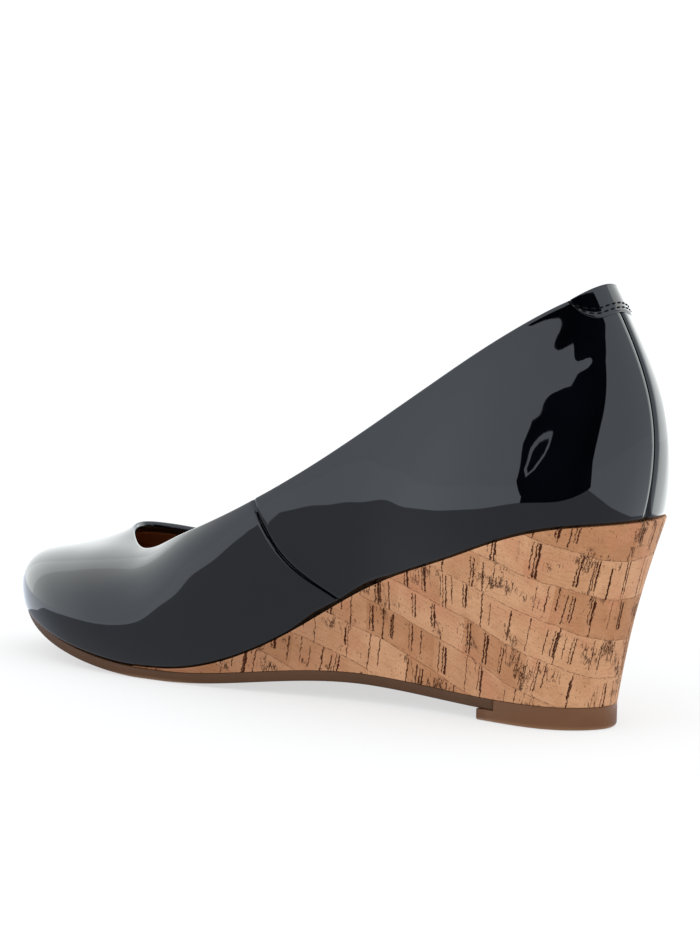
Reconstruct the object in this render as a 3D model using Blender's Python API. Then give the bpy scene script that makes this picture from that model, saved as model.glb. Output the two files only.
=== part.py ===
"""Cork wedge court shoe for the right foot: hollow patent upper, heel tab, insole, wedge, outsole, heel lift.

The shoe stands empty on its sole. X runs from heel to toe, Y to the wearer's left, which is the inner side of
this foot, and Z up. The origin lies on the floor under the middle of the heel lift.
"""
from collections import namedtuple

import bpy
import numpy as np

# Driving dimensions of the last, in metres
LENGTH = 0.232              # back of the heel seat to the toe, along the featherline
BALL_WIDTH = 0.073          # widest part of the forefoot
HEEL_WIDTH = 0.054          # widest part of the heel seat
WEDGE_HEIGHT = 0.0520       # cork at the back of the heel
BACK_HEIGHT = 0.0635        # quarters at the back, above the featherline

# Driving dimensions of the pieces, in metres
UPPER_WALL = 0.0020         # patent leather, stiffener and lining together
TOPLINE_ROUND = 0.0006      # how far the folded topline rises over its two faces
SEAM_WIDTH = 0.0018
SEAM_DEPTH = 0.0006
TAB_THICKNESS = 0.0008
TAB_HEIGHT = 0.0064
TAB_REACH = 0.0150          # heel tab along the topline, each way from the back seam
TAB_PROUD = 0.0004          # how far the tab stands above the topline
INSOLE_THICKNESS = 0.0030
SOLE_THICKNESS = 0.0031
HEEL_STEP = 0.0033          # lift below the sole
TOE_SPRING = 0.0135
ARCH_RISE = 0.0022          # waist of the sole above the heel step
LIFT_LENGTH = 0.0345
LIFT_NOTCH = 0.0060         # how far the sole laps over the lift's front
WEDGE_LEDGE = 0.0005        # cork standing out past the featherline
EDGE_ROUND = 0.0008         # eased edge of the sole and the lift
WALL_HOLLOW = 0.0012        # how far the cork wall is hollowed between its two edges
CLEARANCE = 0.0003          # gap between pieces that meet
HEEL_CENTRE = 0.0350        # origin, forward of the back of the heel seat

# Where the sole and the wedge change, as shares of the length
TREAD_START = 0.680         # flat of the forefoot, towards the heel
TREAD_END = 0.720           # flat of the forefoot, towards the toe
WEDGE_END = 0.720           # feathered front of the cork
SPRING_POWER = 1.6          # how late the toe spring rises
BREAST_RATE = 1.6           # how early the sole reaches the height of the lift

# Outlines seen from above. Each row is a place round the foot, in order from the back along the inner side.
# width is the size that its across shares follow; along shares are of the length, rise shares of the back's
# height above the last's bottom. foot is the featherline, top the topline, base the sole under the cork.
Outline = namedtuple("Outline", "name width foot_along foot_across top_along top_across rise "
                                "base_along base_across")
OUTLINES = (
    Outline("back", HEEL_WIDTH, 0.041, 0.00, 0.100, 0.00, 0.985, 0.089, 0.00),
    Outline("heel_in", HEEL_WIDTH, 0.060, 0.56, 0.116, 0.34, 0.958, 0.113, 0.39),
    Outline("seat_in", HEEL_WIDTH, 0.202, 1.03, 0.211, 0.76, 0.87, 0.224, 0.58),
    Outline("waist_in", BALL_WIDTH, 0.381, 0.65, 0.377, 0.74, 0.70, 0.386, 0.49),
    Outline("shank_in", BALL_WIDTH, 0.560, 0.80, 0.542, 0.83, 0.685, 0.565, 0.77),
    Outline("ball_in", BALL_WIDTH, 0.749, 0.95, 0.706, 0.70, 0.53, 0.749, 0.94),
    Outline("toe_in", BALL_WIDTH, 0.935, 0.70, 0.806, 0.35, 0.38, 0.930, 0.67),
    Outline("tip", BALL_WIDTH, 1.000, 0.16, 0.854, -0.04, 0.335, 1.002, 0.14),
    Outline("toe_out", BALL_WIDTH, 0.913, -0.52, 0.804, -0.35, 0.41, 0.918, -0.54),
    Outline("ball_out", BALL_WIDTH, 0.695, -0.98, 0.696, -0.68, 0.55, 0.695, -0.98),
    Outline("shank_out", BALL_WIDTH, 0.516, -0.92, 0.529, -0.87, 0.62, 0.516, -0.90),
    Outline("waist_out", BALL_WIDTH, 0.359, -0.70, 0.368, -0.74, 0.66, 0.359, -0.55),
    Outline("seat_out", HEEL_WIDTH, 0.202, -1.04, 0.211, -0.76, 0.86, 0.224, -0.62),
    Outline("heel_out", HEEL_WIDTH, 0.060, -0.54, 0.116, -0.33, 0.945, 0.113, -0.38),
)

# How the wall swells between the featherline and the topline, as shares of the back's height. It leaves the
# featherline out and up, and reaches the topline from spread outside it and drop below it.
Swell = namedtuple("Swell", "name out up spread drop")
SWELLS = (
    Swell("back", 0.09, 0.40, 0.26, 0.42),
    Swell("heel_in", 0.08, 0.36, 0.15, 0.38),
    Swell("seat_in", 0.10, 0.28, 0.065, 0.30),
    Swell("waist_in", 0.09, 0.24, 0.045, 0.265),
    Swell("shank_in", 0.09, 0.21, 0.045, 0.21),
    Swell("ball_in", 0.075, 0.20, 0.11, 0.13),
    Swell("toe_in", 0.065, 0.255, 0.22, 0.09),
    Swell("tip", 0.055, 0.27, 0.28, 0.16),
    Swell("toe_out", 0.045, 0.24, 0.22, 0.13),
    Swell("ball_out", 0.055, 0.20, 0.11, 0.13),
    Swell("shank_out", 0.07, 0.20, 0.045, 0.21),
    Swell("waist_out", 0.08, 0.24, 0.045, 0.265),
    Swell("seat_out", 0.10, 0.28, 0.065, 0.30),
    Swell("heel_out", 0.08, 0.36, 0.15, 0.38),
)

# Thickness of the cork under the last's bottom: share of the length, share of the wedge's height
Cork = namedtuple("Cork", "along height")
CORK = (
    Cork(0.00, 1.01),
    Cork(0.11, 0.97),
    Cork(0.24, 0.77),
    Cork(0.37, 0.52),
    Cork(0.50, 0.20),
    Cork(0.63, 0.03),
    Cork(0.76, 0.00),
    Cork(0.90, 0.00),
    Cork(1.00, 0.00),
)

# Side seam on the inner side: height up the wall as a share, and place round the foot as a turn
SeamPoint = namedtuple("SeamPoint", "height turn")
SIDE_SEAM = (
    SeamPoint(0.00, 0.205),
    SeamPoint(0.35, 0.229),
    SeamPoint(0.70, 0.251),
    SeamPoint(1.00, 0.265),
)

# Shape of the heel tab and of the hollow in the cork wall
TAB_STRAIGHT = 0.45         # share of its reach that keeps its full height
TAB_TAPER = 0.80            # share of its height lost at its ends
TAB_ROWS = (0.0, 0.5, 1.0)
HOLLOW_FADE = 0.35          # share of the wedge's height under which the hollow fades

# Colours, linear
NAVY_PATENT = (0.012, 0.013, 0.020)
SOCK_TAN = (0.42, 0.27, 0.16)
CORK_BROWN = (0.52, 0.33, 0.20)
RUBBER_BROWN = (0.20, 0.12, 0.07)

# Fineness of the meshes
COLUMNS = 96                # round the foot
BACK_COLUMNS = 12           # extra ones round the back of the heel
BACK_TURN = 0.075           # how far from the back seam those reach, as a turn
OUTER_ROWS = 15             # up the outer face
INNER_ROWS = 9              # down the inner face
SLAB_COLUMNS = 72           # round the sole, the insole and the wedge
CORK_ROWS = 4               # up the cork wall
SEAM_SPACE = 1.6            # columns keep this many half widths from a seam
SEAM_BLEND = 0.11           # how far from the side seam the columns lean with it, as a turn
MEASURE_STEPS = 400         # points that measure an outline
TAB_COLUMNS = 17
TAB_SEARCH = 0.25           # how far from the back seam the tab can reach, as a turn
RISER = 0.0001              # slope of the notch's step in the lift
EPSILON = 1e-4              # step of the slopes, as a turn or a share of the wall
LEVEL_FOOT = 0.12           # share of the wall over which its depth turns from level to square
CREASE_DEGREES = 35.0       # edges sharper than this are shaded sharp


def periodic_spline(knots, values, at):
    """A smooth closed curve through values at knots in [0, 1), read at any turns."""
    count = len(knots)
    gaps = np.diff(np.append(knots, knots[0] + 1.0))
    slopes = (np.roll(values, -1, 0) - values) / gaps[:, None]
    matrix = np.zeros((count, count))
    right = np.zeros_like(values)
    for i in range(count):
        matrix[i, i - 1] += gaps[i - 1]
        matrix[i, i] += 2.0 * (gaps[i - 1] + gaps[i])
        matrix[i, (i + 1) % count] += gaps[i]
        right[i] = 6.0 * (slopes[i] - slopes[i - 1])
    bends = np.linalg.solve(matrix, right)
    at = np.mod(at - knots[0], 1.0) + knots[0]
    i = np.clip(np.searchsorted(knots, at, side="right") - 1, 0, count - 1)
    return spline_piece(i, (i + 1) % count, at - knots[i], gaps[i], values, bends)


def open_spline(knots, values, at):
    """A smooth curve through values at rising knots, read between its ends."""
    count = len(knots)
    gaps = np.diff(knots)
    slopes = np.diff(values, axis=0) / gaps[:, None]
    matrix = np.eye(count)
    right = np.zeros_like(values)
    for i in range(1, count - 1):
        matrix[i, i - 1:i + 2] = gaps[i - 1], 2.0 * (gaps[i - 1] + gaps[i]), gaps[i]
        right[i] = 6.0 * (slopes[i] - slopes[i - 1])
    bends = np.linalg.solve(matrix, right)
    at = np.clip(at, knots[0], knots[-1])
    i = np.clip(np.searchsorted(knots, at, side="right") - 1, 0, count - 2)
    return spline_piece(i, i + 1, at - knots[i], gaps[i], values, bends)


def spline_piece(low, high, past, gap, values, bends):
    """Cubic between knots low and high, at a distance past the low one."""
    past = past[..., None]
    gap = gap[..., None]
    left = gap - past
    curved = (bends[low] * left ** 3 + bends[high] * past ** 3) / (6.0 * gap)
    return (curved + (values[low] / gap - bends[low] * gap / 6.0) * left
            + (values[high] / gap - bends[high] * gap / 6.0) * past)


def table_profile(table, at):
    """Second column of a two-column table, read smoothly at any value of the first."""
    knots = np.array([row[0] for row in table])
    values = np.array([[row[1]] for row in table])
    return open_spline(knots, values, np.asarray(at, float))[..., 0]


def ease(t):
    """Soft step from 0 to 1."""
    t = np.clip(t, 0.0, 1.0)
    return t * t * (3.0 - 2.0 * t)


def sole_under(x):
    """Height of the sole's underside: flat at the tread, sprung at the toe, arched at the waist."""
    start = TREAD_START * LENGTH
    end = TREAD_END * LENGTH
    breast = lift_front() - LIFT_NOTCH
    spring = TOE_SPRING * np.clip((x - end) / (LENGTH - end), 0.0, None) ** SPRING_POWER
    waist = np.clip((start - x) / (start - breast), 0.0, 1.0)
    return spring + HEEL_STEP * ease(waist * BREAST_RATE) + ARCH_RISE * np.sin(np.pi * waist) ** 2


def cork_height(x):
    """Thickness of the cork between the sole and the last's bottom."""
    share = np.clip(table_profile(CORK, x / LENGTH), 0.0, None)
    return WEDGE_HEIGHT * share


def last_bottom(x):
    """Height of the last's bottom, where the upper's lower edge lies."""
    return sole_under(x) + SOLE_THICKNESS + CLEARANCE + cork_height(x)


def lift_front():
    """Front of the lift, forward of the back of the heel seat."""
    return OUTLINES[0].base_along * LENGTH + LIFT_LENGTH


def outline_points(kind):
    """Plan points of one outline, one for each row: foot, top or base."""
    return np.array([[getattr(row, kind + "_along") * LENGTH, getattr(row, kind + "_across") * row.width / 2.0]
                     for row in OUTLINES])


def outline_length(kind, start=0.0, end=1.0):
    """Length of an outline between two turns."""
    points = plan(kind, np.linspace(start, end, MEASURE_STEPS))[0]
    return np.linalg.norm(np.diff(points, axis=0), axis=1).sum()


def row_turns():
    """Turn of each row: its share of the way round the featherline."""
    foot = outline_points("foot")
    steps = np.linalg.norm(np.roll(foot, -1, 0) - foot, axis=1)
    return np.append(0.0, np.cumsum(steps)[:-1]) / steps.sum()


def plan(kind, turn):
    """Point and outward direction of one outline at any turns."""
    points = outline_points(kind)
    turns = row_turns()
    here = periodic_spline(turns, points, turn)
    along = periodic_spline(turns, points, turn + EPSILON) - periodic_spline(turns, points, turn - EPSILON)
    outward = np.stack([-along[..., 1], along[..., 0]], -1)
    return here, outward / np.linalg.norm(outward, axis=-1, keepdims=True)


def skin(turn, height):
    """Outer face of the upper, at a turn round the foot and a share of the way up the wall."""
    turn, height = np.broadcast_arrays(np.asarray(turn, float), np.asarray(height, float))
    turns = row_turns()
    foot_at = outline_points("foot")[:, :1]
    rises = np.array([[row.rise * BACK_HEIGHT] for row in OUTLINES]) + last_bottom(foot_at)
    swells = np.array([row[1:] for row in SWELLS]) * BACK_HEIGHT
    foot, foot_out = plan("foot", turn)
    top, top_out = plan("top", turn)
    out, up, spread, drop = np.moveaxis(periodic_spline(turns, swells, turn), -1, 0)
    rise = periodic_spline(turns, rises, turn)
    first = np.concatenate([foot, last_bottom(foot[..., :1])], -1)
    last = np.concatenate([top, rise], -1)
    second = first + np.concatenate([foot_out * out[..., None], up[..., None]], -1)
    third = last + np.concatenate([top_out * spread[..., None], -drop[..., None]], -1)
    t = height[..., None]
    s = 1.0 - t
    return first * s ** 3 + 3.0 * second * s * s * t + 3.0 * third * s * t * t + last * t ** 3


def skin_normal(turn, height):
    """Outward unit normal of the outer face."""
    round_foot = skin(turn + EPSILON, height) - skin(turn - EPSILON, height)
    up_wall = skin(turn, height + EPSILON) - skin(turn, height - EPSILON)
    normal = np.cross(up_wall, round_foot)
    return normal / np.linalg.norm(normal, axis=-1, keepdims=True)


def wall_point(turn, height, depth):
    """Point at a depth under the outer face; near the featherline the depth is taken level."""
    normal = skin_normal(turn, height)
    normal[..., 2] *= ease(height / LEVEL_FOOT)
    normal /= np.linalg.norm(normal, axis=-1, keepdims=True)
    return skin(turn, height) - normal * np.asarray(depth, float)[..., None]


def seam_turn(height):
    """Turn of the side seam at a height up the wall."""
    return table_profile(SIDE_SEAM, height)


def column_turns(height):
    """Turns of the upper's columns at one height, leaning with the side seam near it, and where they groove.

    The columns at the two seams come in threes, for a groove's two edges and its bottom. The second result is
    1 at the bottoms and 0 elsewhere.
    """
    half = SEAM_WIDTH / outline_length("foot") / 2.0
    middle = seam_turn(np.array(0.5))
    back = np.linspace(-BACK_TURN, BACK_TURN, BACK_COLUMNS + 1) % 1.0
    rest = np.linspace(BACK_TURN, 1.0 - BACK_TURN, COLUMNS - BACK_COLUMNS)[1:-1]
    plain = np.concatenate([back, rest])
    from_seam = np.minimum(np.abs(plain - middle), np.minimum(plain, 1.0 - plain))
    seams = np.array([middle - half, middle, middle + half, 0.0, half, 1.0 - half])
    turns = np.sort(np.concatenate([plain[from_seam > SEAM_SPACE * half], seams]))
    bottoms = np.isclose(turns, middle) | np.isclose(turns, 0.0)
    lean = ease(1.0 - np.abs(turns - middle) / SEAM_BLEND)
    return turns + lean * (seam_turn(height) - middle), bottoms.astype(float)


def to_frame(points):
    """Moves points from the back of the heel seat to the part's origin."""
    return np.asarray(points) - np.array([HEEL_CENTRE, 0.0, 0.0])


def make_object(name, points, faces, colour, roughness, metallic=0.0):
    """One closed mesh object with its own material."""
    mesh = bpy.data.meshes.new(name)
    mesh.from_pydata([tuple(p) for p in to_frame(points)], [], faces)
    mesh.validate()
    mesh.shade_smooth()
    mesh.set_sharp_from_angle(angle=np.radians(CREASE_DEGREES))
    material = bpy.data.materials.new(name + "_finish")
    material.use_nodes = True
    shader = material.node_tree.nodes["Principled BSDF"]
    shader.inputs["Base Color"].default_value = (*colour, 1.0)
    shader.inputs["Roughness"].default_value = roughness
    shader.inputs["Metallic"].default_value = metallic
    mesh.materials.append(material)
    piece = bpy.data.objects.new(name, mesh)
    bpy.context.collection.objects.link(piece)
    return piece


def band_faces(rings, columns, closed_rings, closed_columns):
    """Quads between neighbouring rings of columns points, wound to face out."""
    faces = []
    for ring in range(rings if closed_rings else rings - 1):
        upper_ring = (ring + 1) % rings
        for column in range(columns if closed_columns else columns - 1):
            beside = (column + 1) % columns
            faces.append((ring * columns + column, upper_ring * columns + column,
                          upper_ring * columns + beside, ring * columns + beside))
    return faces


def ladder_faces(first, columns, tail_open, upward):
    """Cap of a ring as rungs between its two sides, from its middle point to its open or pointed tail."""
    middle = (columns - 1) // 2 if tail_open else columns // 2
    faces = []
    for rung in range(middle if tail_open else middle - 1):
        near = (first + middle - rung, first + middle + rung)
        far = (first + middle - rung - 1, first + middle + rung + 1)
        face = (near[0], far[0], far[1]) if rung == 0 else (near[0], far[0], far[1], near[1])
        faces.append(face)
    if not tail_open:
        faces.append((first, first + columns - 1, first + 1))
    return faces if upward else [face[::-1] for face in faces]


def make_slab(name, rings, tail_open, colour, roughness):
    """Solid of stacked rings, lowest first, closed below and above by ladders."""
    columns = len(rings[0])
    faces = band_faces(len(rings), columns, False, True)
    faces += ladder_faces(0, columns, tail_open, False)
    faces += ladder_faces((len(rings) - 1) * columns, columns, tail_open, True)
    return make_object(name, np.concatenate(rings), faces, colour, roughness)


def make_upper():
    """Hollow upper: outer face, rounded topline and inner face as one closed wall, open above and below."""
    rings = []
    for height in np.linspace(0.0, 1.0, OUTER_ROWS):
        turns, bottoms = column_turns(height)
        rings.append(wall_point(turns, np.full_like(turns, height), bottoms * SEAM_DEPTH))
    turns = column_turns(1.0)[0]
    rim = wall_point(turns, np.ones_like(turns), np.full_like(turns, UPPER_WALL / 2.0))
    rings.append(rim + np.array([0.0, 0.0, TOPLINE_ROUND]))
    for height in np.linspace(1.0, 0.0, INNER_ROWS):
        turns = column_turns(height)[0]
        rings.append(wall_point(turns, np.full_like(turns, height), np.full_like(turns, UPPER_WALL)))
    faces = band_faces(len(rings), len(turns), True, True)
    return make_object("upper", np.concatenate(rings), faces, NAVY_PATENT, 0.12)


def topline_turn(reach):
    """Turn that lies a distance along the topline from the back seam, on either side of it."""
    turns = np.linspace(-TAB_SEARCH, TAB_SEARCH, 2 * MEASURE_STEPS + 1)
    steps = np.linalg.norm(np.diff(plan("top", turns)[0], axis=0), axis=1)
    along = np.append(0.0, np.cumsum(steps))
    return np.interp(reach, along - along[MEASURE_STEPS], turns)


def make_heel_tab():
    """Overlay round the top of the back, offset from the upper's own outer face."""
    reach = np.linspace(-TAB_REACH, TAB_REACH, TAB_COLUMNS)
    turn = topline_turn(reach)
    taper = ease((np.abs(reach) / TAB_REACH - TAB_STRAIGHT) / (1.0 - TAB_STRAIGHT))
    drop = TAB_HEIGHT * (1.0 - TAB_TAPER * taper)
    wall_rate = np.linalg.norm(skin(turn, 1.0) - skin(turn, 1.0 - EPSILON), axis=-1) / EPSILON
    heights = [1.0 + (TAB_PROUD * share - drop * (1.0 - share)) / wall_rate for share in TAB_ROWS]
    outer = [wall_point(turn, height, np.full_like(turn, -CLEARANCE - TAB_THICKNESS)) for height in heights]
    inner = [wall_point(turn, height, np.full_like(turn, -CLEARANCE)) for height in heights[::-1]]
    rings = outer + inner
    columns = len(turn)
    faces = band_faces(len(rings), columns, True, False)
    for first in (0, columns - 1):
        ring_points = [first + ring * columns for ring in range(len(rings))]
        for low in range(len(outer) - 1):
            quad = (ring_points[low], ring_points[-1 - low], ring_points[-2 - low], ring_points[low + 1])
            faces.append(quad if first == 0 else quad[::-1])
    return make_object("heel_tab", np.concatenate(rings), faces, NAVY_PATENT, 0.14)


def whole_ring():
    """Turns of a whole outline, from the toe round the back, which is halfway."""
    return (np.arange(SLAB_COLUMNS) / SLAB_COLUMNS + 0.5) % 1.0


def turn_at(kind, x, inner_side):
    """Turn where an outline crosses x on one side of the foot."""
    tip = row_turns()[[row.name for row in OUTLINES].index("tip")]
    turns = np.linspace(0.0, tip, MEASURE_STEPS) if inner_side else np.linspace(1.0, tip, MEASURE_STEPS)
    return np.interp(x, plan(kind, turns)[0][:, 0], turns)


def heel_ring(kind, stops):
    """Turns round the back between two cuts, with the back halfway. stops are the x places of its rungs from
    the cut; from the last of them the rungs run evenly to the back."""
    outer = [turn_at(kind, x, False) for x in stops]
    inner = [turn_at(kind, x, True) for x in stops]
    half = SLAB_COLUMNS // 2
    return np.concatenate([outer[:-1], np.linspace(outer[-1], 1.0, half),
                           np.linspace(0.0, inner[-1], half)[1:], inner[-2::-1]])


def make_insole():
    """Sock and insole board inside the upper, resting on the wedge and the sole."""
    turn = whole_ring()
    foot, outward = plan("foot", turn)
    edge = foot - outward * (UPPER_WALL + CLEARANCE)
    bottom = np.concatenate([edge, last_bottom(edge[:, :1])], 1)
    top = bottom + np.array([0.0, 0.0, INSOLE_THICKNESS])
    return make_slab("insole", [bottom, top], False, SOCK_TAN, 0.75)


def make_wedge():
    """Cork wedge from the heel to its feathered front under the ball."""
    turn = heel_ring("foot", [WEDGE_END * LENGTH, WEDGE_END * LENGTH - RISER])
    foot, foot_out = plan("foot", turn)
    base, base_out = plan("base", turn)
    foot = foot + foot_out * WEDGE_LEDGE
    low = sole_under(base[:, :1]) + SOLE_THICKNESS + CLEARANCE
    high = last_bottom(foot[:, :1]) - CLEARANCE
    depth = WALL_HOLLOW * ease(cork_height(base[:, :1]) / WEDGE_HEIGHT / HOLLOW_FADE)
    rings = []
    for share in np.linspace(0.0, 1.0, CORK_ROWS):
        level = base + (foot - base) * share - base_out * depth * np.sin(np.pi * share)
        rings.append(np.concatenate([level, low + (high - low) * share], 1))
    return make_slab("wedge", rings, True, CORK_BROWN, 0.8)


def make_outsole():
    """Outsole from the toe to where it laps over the front of the lift."""
    end = lift_front() - LIFT_NOTCH
    turn = np.linspace(turn_at("base", end, True), turn_at("base", end, False), SLAB_COLUMNS + 1)
    base, outward = plan("base", turn)
    eased = base - outward * EDGE_ROUND
    under = sole_under(base[:, :1])
    rings = [
        np.concatenate([eased, sole_under(eased[:, :1])], 1),
        np.concatenate([base, under + EDGE_ROUND], 1),
        np.concatenate([base, under + SOLE_THICKNESS], 1),
    ]
    return make_slab("outsole", rings, True, RUBBER_BROWN, 0.6)


def make_heel_lift():
    """Lift under the heel, notched at its front for the end of the sole."""
    notch = lift_front() - LIFT_NOTCH - CLEARANCE
    turn = heel_ring("base", [lift_front(), notch, notch - RISER])
    base, outward = plan("base", turn)
    eased = base - outward * EDGE_ROUND
    in_notch = base[:, :1] > notch - RISER / 2.0
    high = np.where(in_notch, HEEL_STEP - CLEARANCE, HEEL_STEP + SOLE_THICKNESS)
    rings = [
        np.concatenate([eased, np.zeros_like(high)], 1),
        np.concatenate([base, np.full_like(high, EDGE_ROUND)], 1),
        np.concatenate([base, high], 1),
    ]
    return make_slab("heel_lift", rings, True, RUBBER_BROWN, 0.6)


def main():
    """Removes what the scene holds and makes the six pieces."""
    for piece in list(bpy.data.objects):
        bpy.data.objects.remove(piece)
    make_upper()
    make_heel_tab()
    make_insole()
    make_wedge()
    make_outsole()
    make_heel_lift()


if __name__ == "__main__":
    main()
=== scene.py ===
"""Cork wedge court shoe for the right foot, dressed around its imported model.

X runs from heel to toe, Y to the wearer's left, which is the inner side of this foot, and Z up. The origin
lies on the floor under the middle of the heel lift. Lengths are metres. The last's own functions count x from
the back of the heel seat, and every mesh is moved to the shared origin when it is made.
"""
import logging
import math
from dataclasses import dataclass
from enum import Enum
from functools import cached_property

import bpy
import numpy as np
from mathutils import Matrix, Vector


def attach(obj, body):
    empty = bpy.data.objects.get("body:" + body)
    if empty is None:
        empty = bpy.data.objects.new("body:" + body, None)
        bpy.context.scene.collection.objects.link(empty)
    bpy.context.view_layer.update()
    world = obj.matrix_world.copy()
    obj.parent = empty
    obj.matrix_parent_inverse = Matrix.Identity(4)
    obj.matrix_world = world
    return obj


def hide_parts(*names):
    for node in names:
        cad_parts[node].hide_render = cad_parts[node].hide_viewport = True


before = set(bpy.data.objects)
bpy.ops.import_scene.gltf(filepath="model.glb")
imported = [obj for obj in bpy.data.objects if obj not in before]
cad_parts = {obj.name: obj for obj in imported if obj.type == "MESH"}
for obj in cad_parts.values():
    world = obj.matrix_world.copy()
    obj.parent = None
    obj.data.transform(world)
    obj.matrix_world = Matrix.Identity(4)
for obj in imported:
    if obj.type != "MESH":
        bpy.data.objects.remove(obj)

log = logging.getLogger("court_shoe")

Array = np.ndarray
Rgb = tuple[float, float, float]
Point = tuple[float, float, float]

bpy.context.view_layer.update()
BODY = "root"
MM = 0.001
EPSILON = 1e-4              # step of slopes, as a turn or a share of the wall
RIGHT_ANGLE = np.pi / 2.0
EDGE_RINGS = 6              # rings of a rounded lower edge
FAR = 30.0                  # half the side of the floor and of the paper on it


class Line(Enum):
    """The outlines seen from above that the last is drawn from."""

    FOOT = slice(0, 2)      # the featherline, where the upper meets cork and sole
    TOP = slice(2, 4)       # the topline
    BASE = slice(4, 6)      # the sole under the cork


TOP_HEIGHT = slice(6, 7)    # place of the topline's height after the three outlines
SWELLS = range(7, 11)       # places of the wall's swells after it


class Side(Enum):
    """The two sides of a right foot."""

    INNER = 0.0
    OUTER = 1.0


@dataclass(frozen=True)
class Station:
    """One place round the foot: shares along the length and across the width, and the wall's swell there."""

    name: str
    width: float
    foot: tuple[float, float]
    top: tuple[float, float]
    rise: float
    base: tuple[float, float]
    swell: tuple[float, float, float, float]    # out, up, spread and drop, of the back's height


BALL = 0.073
HEEL = 0.054
STATIONS = (
    Station("back", HEEL, (0.041, 0.0), (0.1, 0.0), 0.985, (0.089, 0.0), (0.09, 0.4, 0.26, 0.42)),
    Station("heel_in", HEEL, (0.06, 0.56), (0.116, 0.34), 0.958, (0.113, 0.39), (0.08, 0.36, 0.15, 0.38)),
    Station("seat_in", HEEL, (0.202, 1.03), (0.211, 0.76), 0.87, (0.224, 0.58), (0.1, 0.28, 0.065, 0.3)),
    Station("waist_in", BALL, (0.381, 0.65), (0.377, 0.74), 0.7, (0.386, 0.49), (0.09, 0.24, 0.045, 0.265)),
    Station("shank_in", BALL, (0.56, 0.8), (0.542, 0.83), 0.685, (0.565, 0.77), (0.09, 0.21, 0.045, 0.21)),
    Station("ball_in", BALL, (0.749, 0.95), (0.706, 0.7), 0.53, (0.749, 0.94), (0.075, 0.2, 0.11, 0.13)),
    Station("toe_in", BALL, (0.935, 0.7), (0.806, 0.35), 0.38, (0.93, 0.67), (0.065, 0.255, 0.22, 0.09)),
    Station("tip", BALL, (1.0, 0.16), (0.854, -0.04), 0.335, (1.002, 0.14), (0.055, 0.27, 0.28, 0.16)),
    Station("toe_out", BALL, (0.913, -0.52), (0.804, -0.35), 0.41, (0.918, -0.54), (0.045, 0.24, 0.22, 0.13)),
    Station("ball_out", BALL, (0.695, -0.98), (0.696, -0.68), 0.55, (0.695, -0.98), (0.055, 0.2, 0.11, 0.13)),
    Station("shank_out", BALL, (0.516, -0.92), (0.529, -0.87), 0.62, (0.516, -0.9), (0.07, 0.2, 0.045, 0.21)),
    Station("waist_out", BALL, (0.359, -0.7), (0.368, -0.74), 0.66, (0.359, -0.55),
            (0.08, 0.24, 0.045, 0.265)),
    Station("seat_out", HEEL, (0.202, -1.04), (0.211, -0.76), 0.86, (0.224, -0.62), (0.1, 0.28, 0.065, 0.3)),
    Station("heel_out", HEEL, (0.06, -0.54), (0.116, -0.33), 0.945, (0.113, -0.38), (0.08, 0.36, 0.15, 0.38)),
)

# Thickness of the cork: share of the length, share of the wedge's height
CORK = ((0.00, 1.01), (0.11, 0.97), (0.24, 0.77), (0.37, 0.52), (0.50, 0.20), (0.63, 0.03), (0.76, 0.0),
        (0.90, 0.0), (1.00, 0.0))
# Side seam: share of the wall's height, turn round the foot
SIDE_SEAM = ((0.00, 0.205), (0.35, 0.229), (0.70, 0.251), (1.00, 0.265))


def ease(t: Array) -> Array:
    """Soft step from 0 to 1."""
    t = np.clip(t, 0.0, 1.0)
    return t * t * (3.0 - 2.0 * t)


def unit(vectors: Array) -> Array:
    """Vectors of length 1 in the same directions."""
    return vectors / np.linalg.norm(vectors, axis=-1, keepdims=True)


class Spline:
    """A smooth cubic curve through values at rising knots, closed over one turn or open at its ends."""

    def __init__(self, knots: Array, values: Array, closed: bool) -> None:
        """Works out how the curve bends at each knot.

        Args:
            knots: rising numbers, within one turn where the curve is closed.
            values: one row for each knot.
            closed: whether the last value runs on to the first.
        """
        self.knots, self.values, self.closed = knots, values, closed
        count = len(knots)
        self.gaps = np.diff(np.append(knots, knots[0] + 1.0)) if closed else np.diff(knots)
        matrix = np.eye(count)
        right = np.zeros_like(values)
        for i in range(0 if closed else 1, count if closed else count - 1):
            before, after = (i - 1) % count, (i + 1) % count
            left_gap, right_gap = self.gaps[i - 1], self.gaps[i]
            matrix[i] = 0.0
            matrix[i, before] += left_gap
            matrix[i, i] += 2.0 * (left_gap + right_gap)
            matrix[i, after] += right_gap
            slope_after = (values[after] - values[i]) / right_gap
            slope_before = (values[i] - values[before]) / left_gap
            right[i] = 6.0 * (slope_after - slope_before)
        self.bends = np.linalg.solve(matrix, right)

    def __call__(self, at: Array) -> Array:
        """Reads the curve.

        Args:
            at: places along the knots, of any shape.

        Returns:
            One row of values for each place.
        """
        at = np.asarray(at, float)
        if self.closed:
            at = np.mod(at - self.knots[0], 1.0) + self.knots[0]
        else:
            at = np.clip(at, self.knots[0], self.knots[-1])
        low = np.clip(np.searchsorted(self.knots, at, side="right") - 1, 0, len(self.gaps) - 1)
        high = (low + 1) % len(self.knots)
        gap = self.gaps[low][..., None]
        past = (at - self.knots[low])[..., None]
        left = gap - past
        curved = (self.bends[low] * left ** 3 + self.bends[high] * past ** 3) / (6.0 * gap)
        return (curved + (self.values[low] / gap - self.bends[low] * gap / 6.0) * left
                + (self.values[high] / gap - self.bends[high] * gap / 6.0) * past)


def open_spline(pairs: tuple[tuple[float, float], ...]) -> Spline:
    """An open curve through pairs of a knot and its value."""
    table = np.array(pairs)
    return Spline(table[:, 0], table[:, 1:], False)


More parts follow.
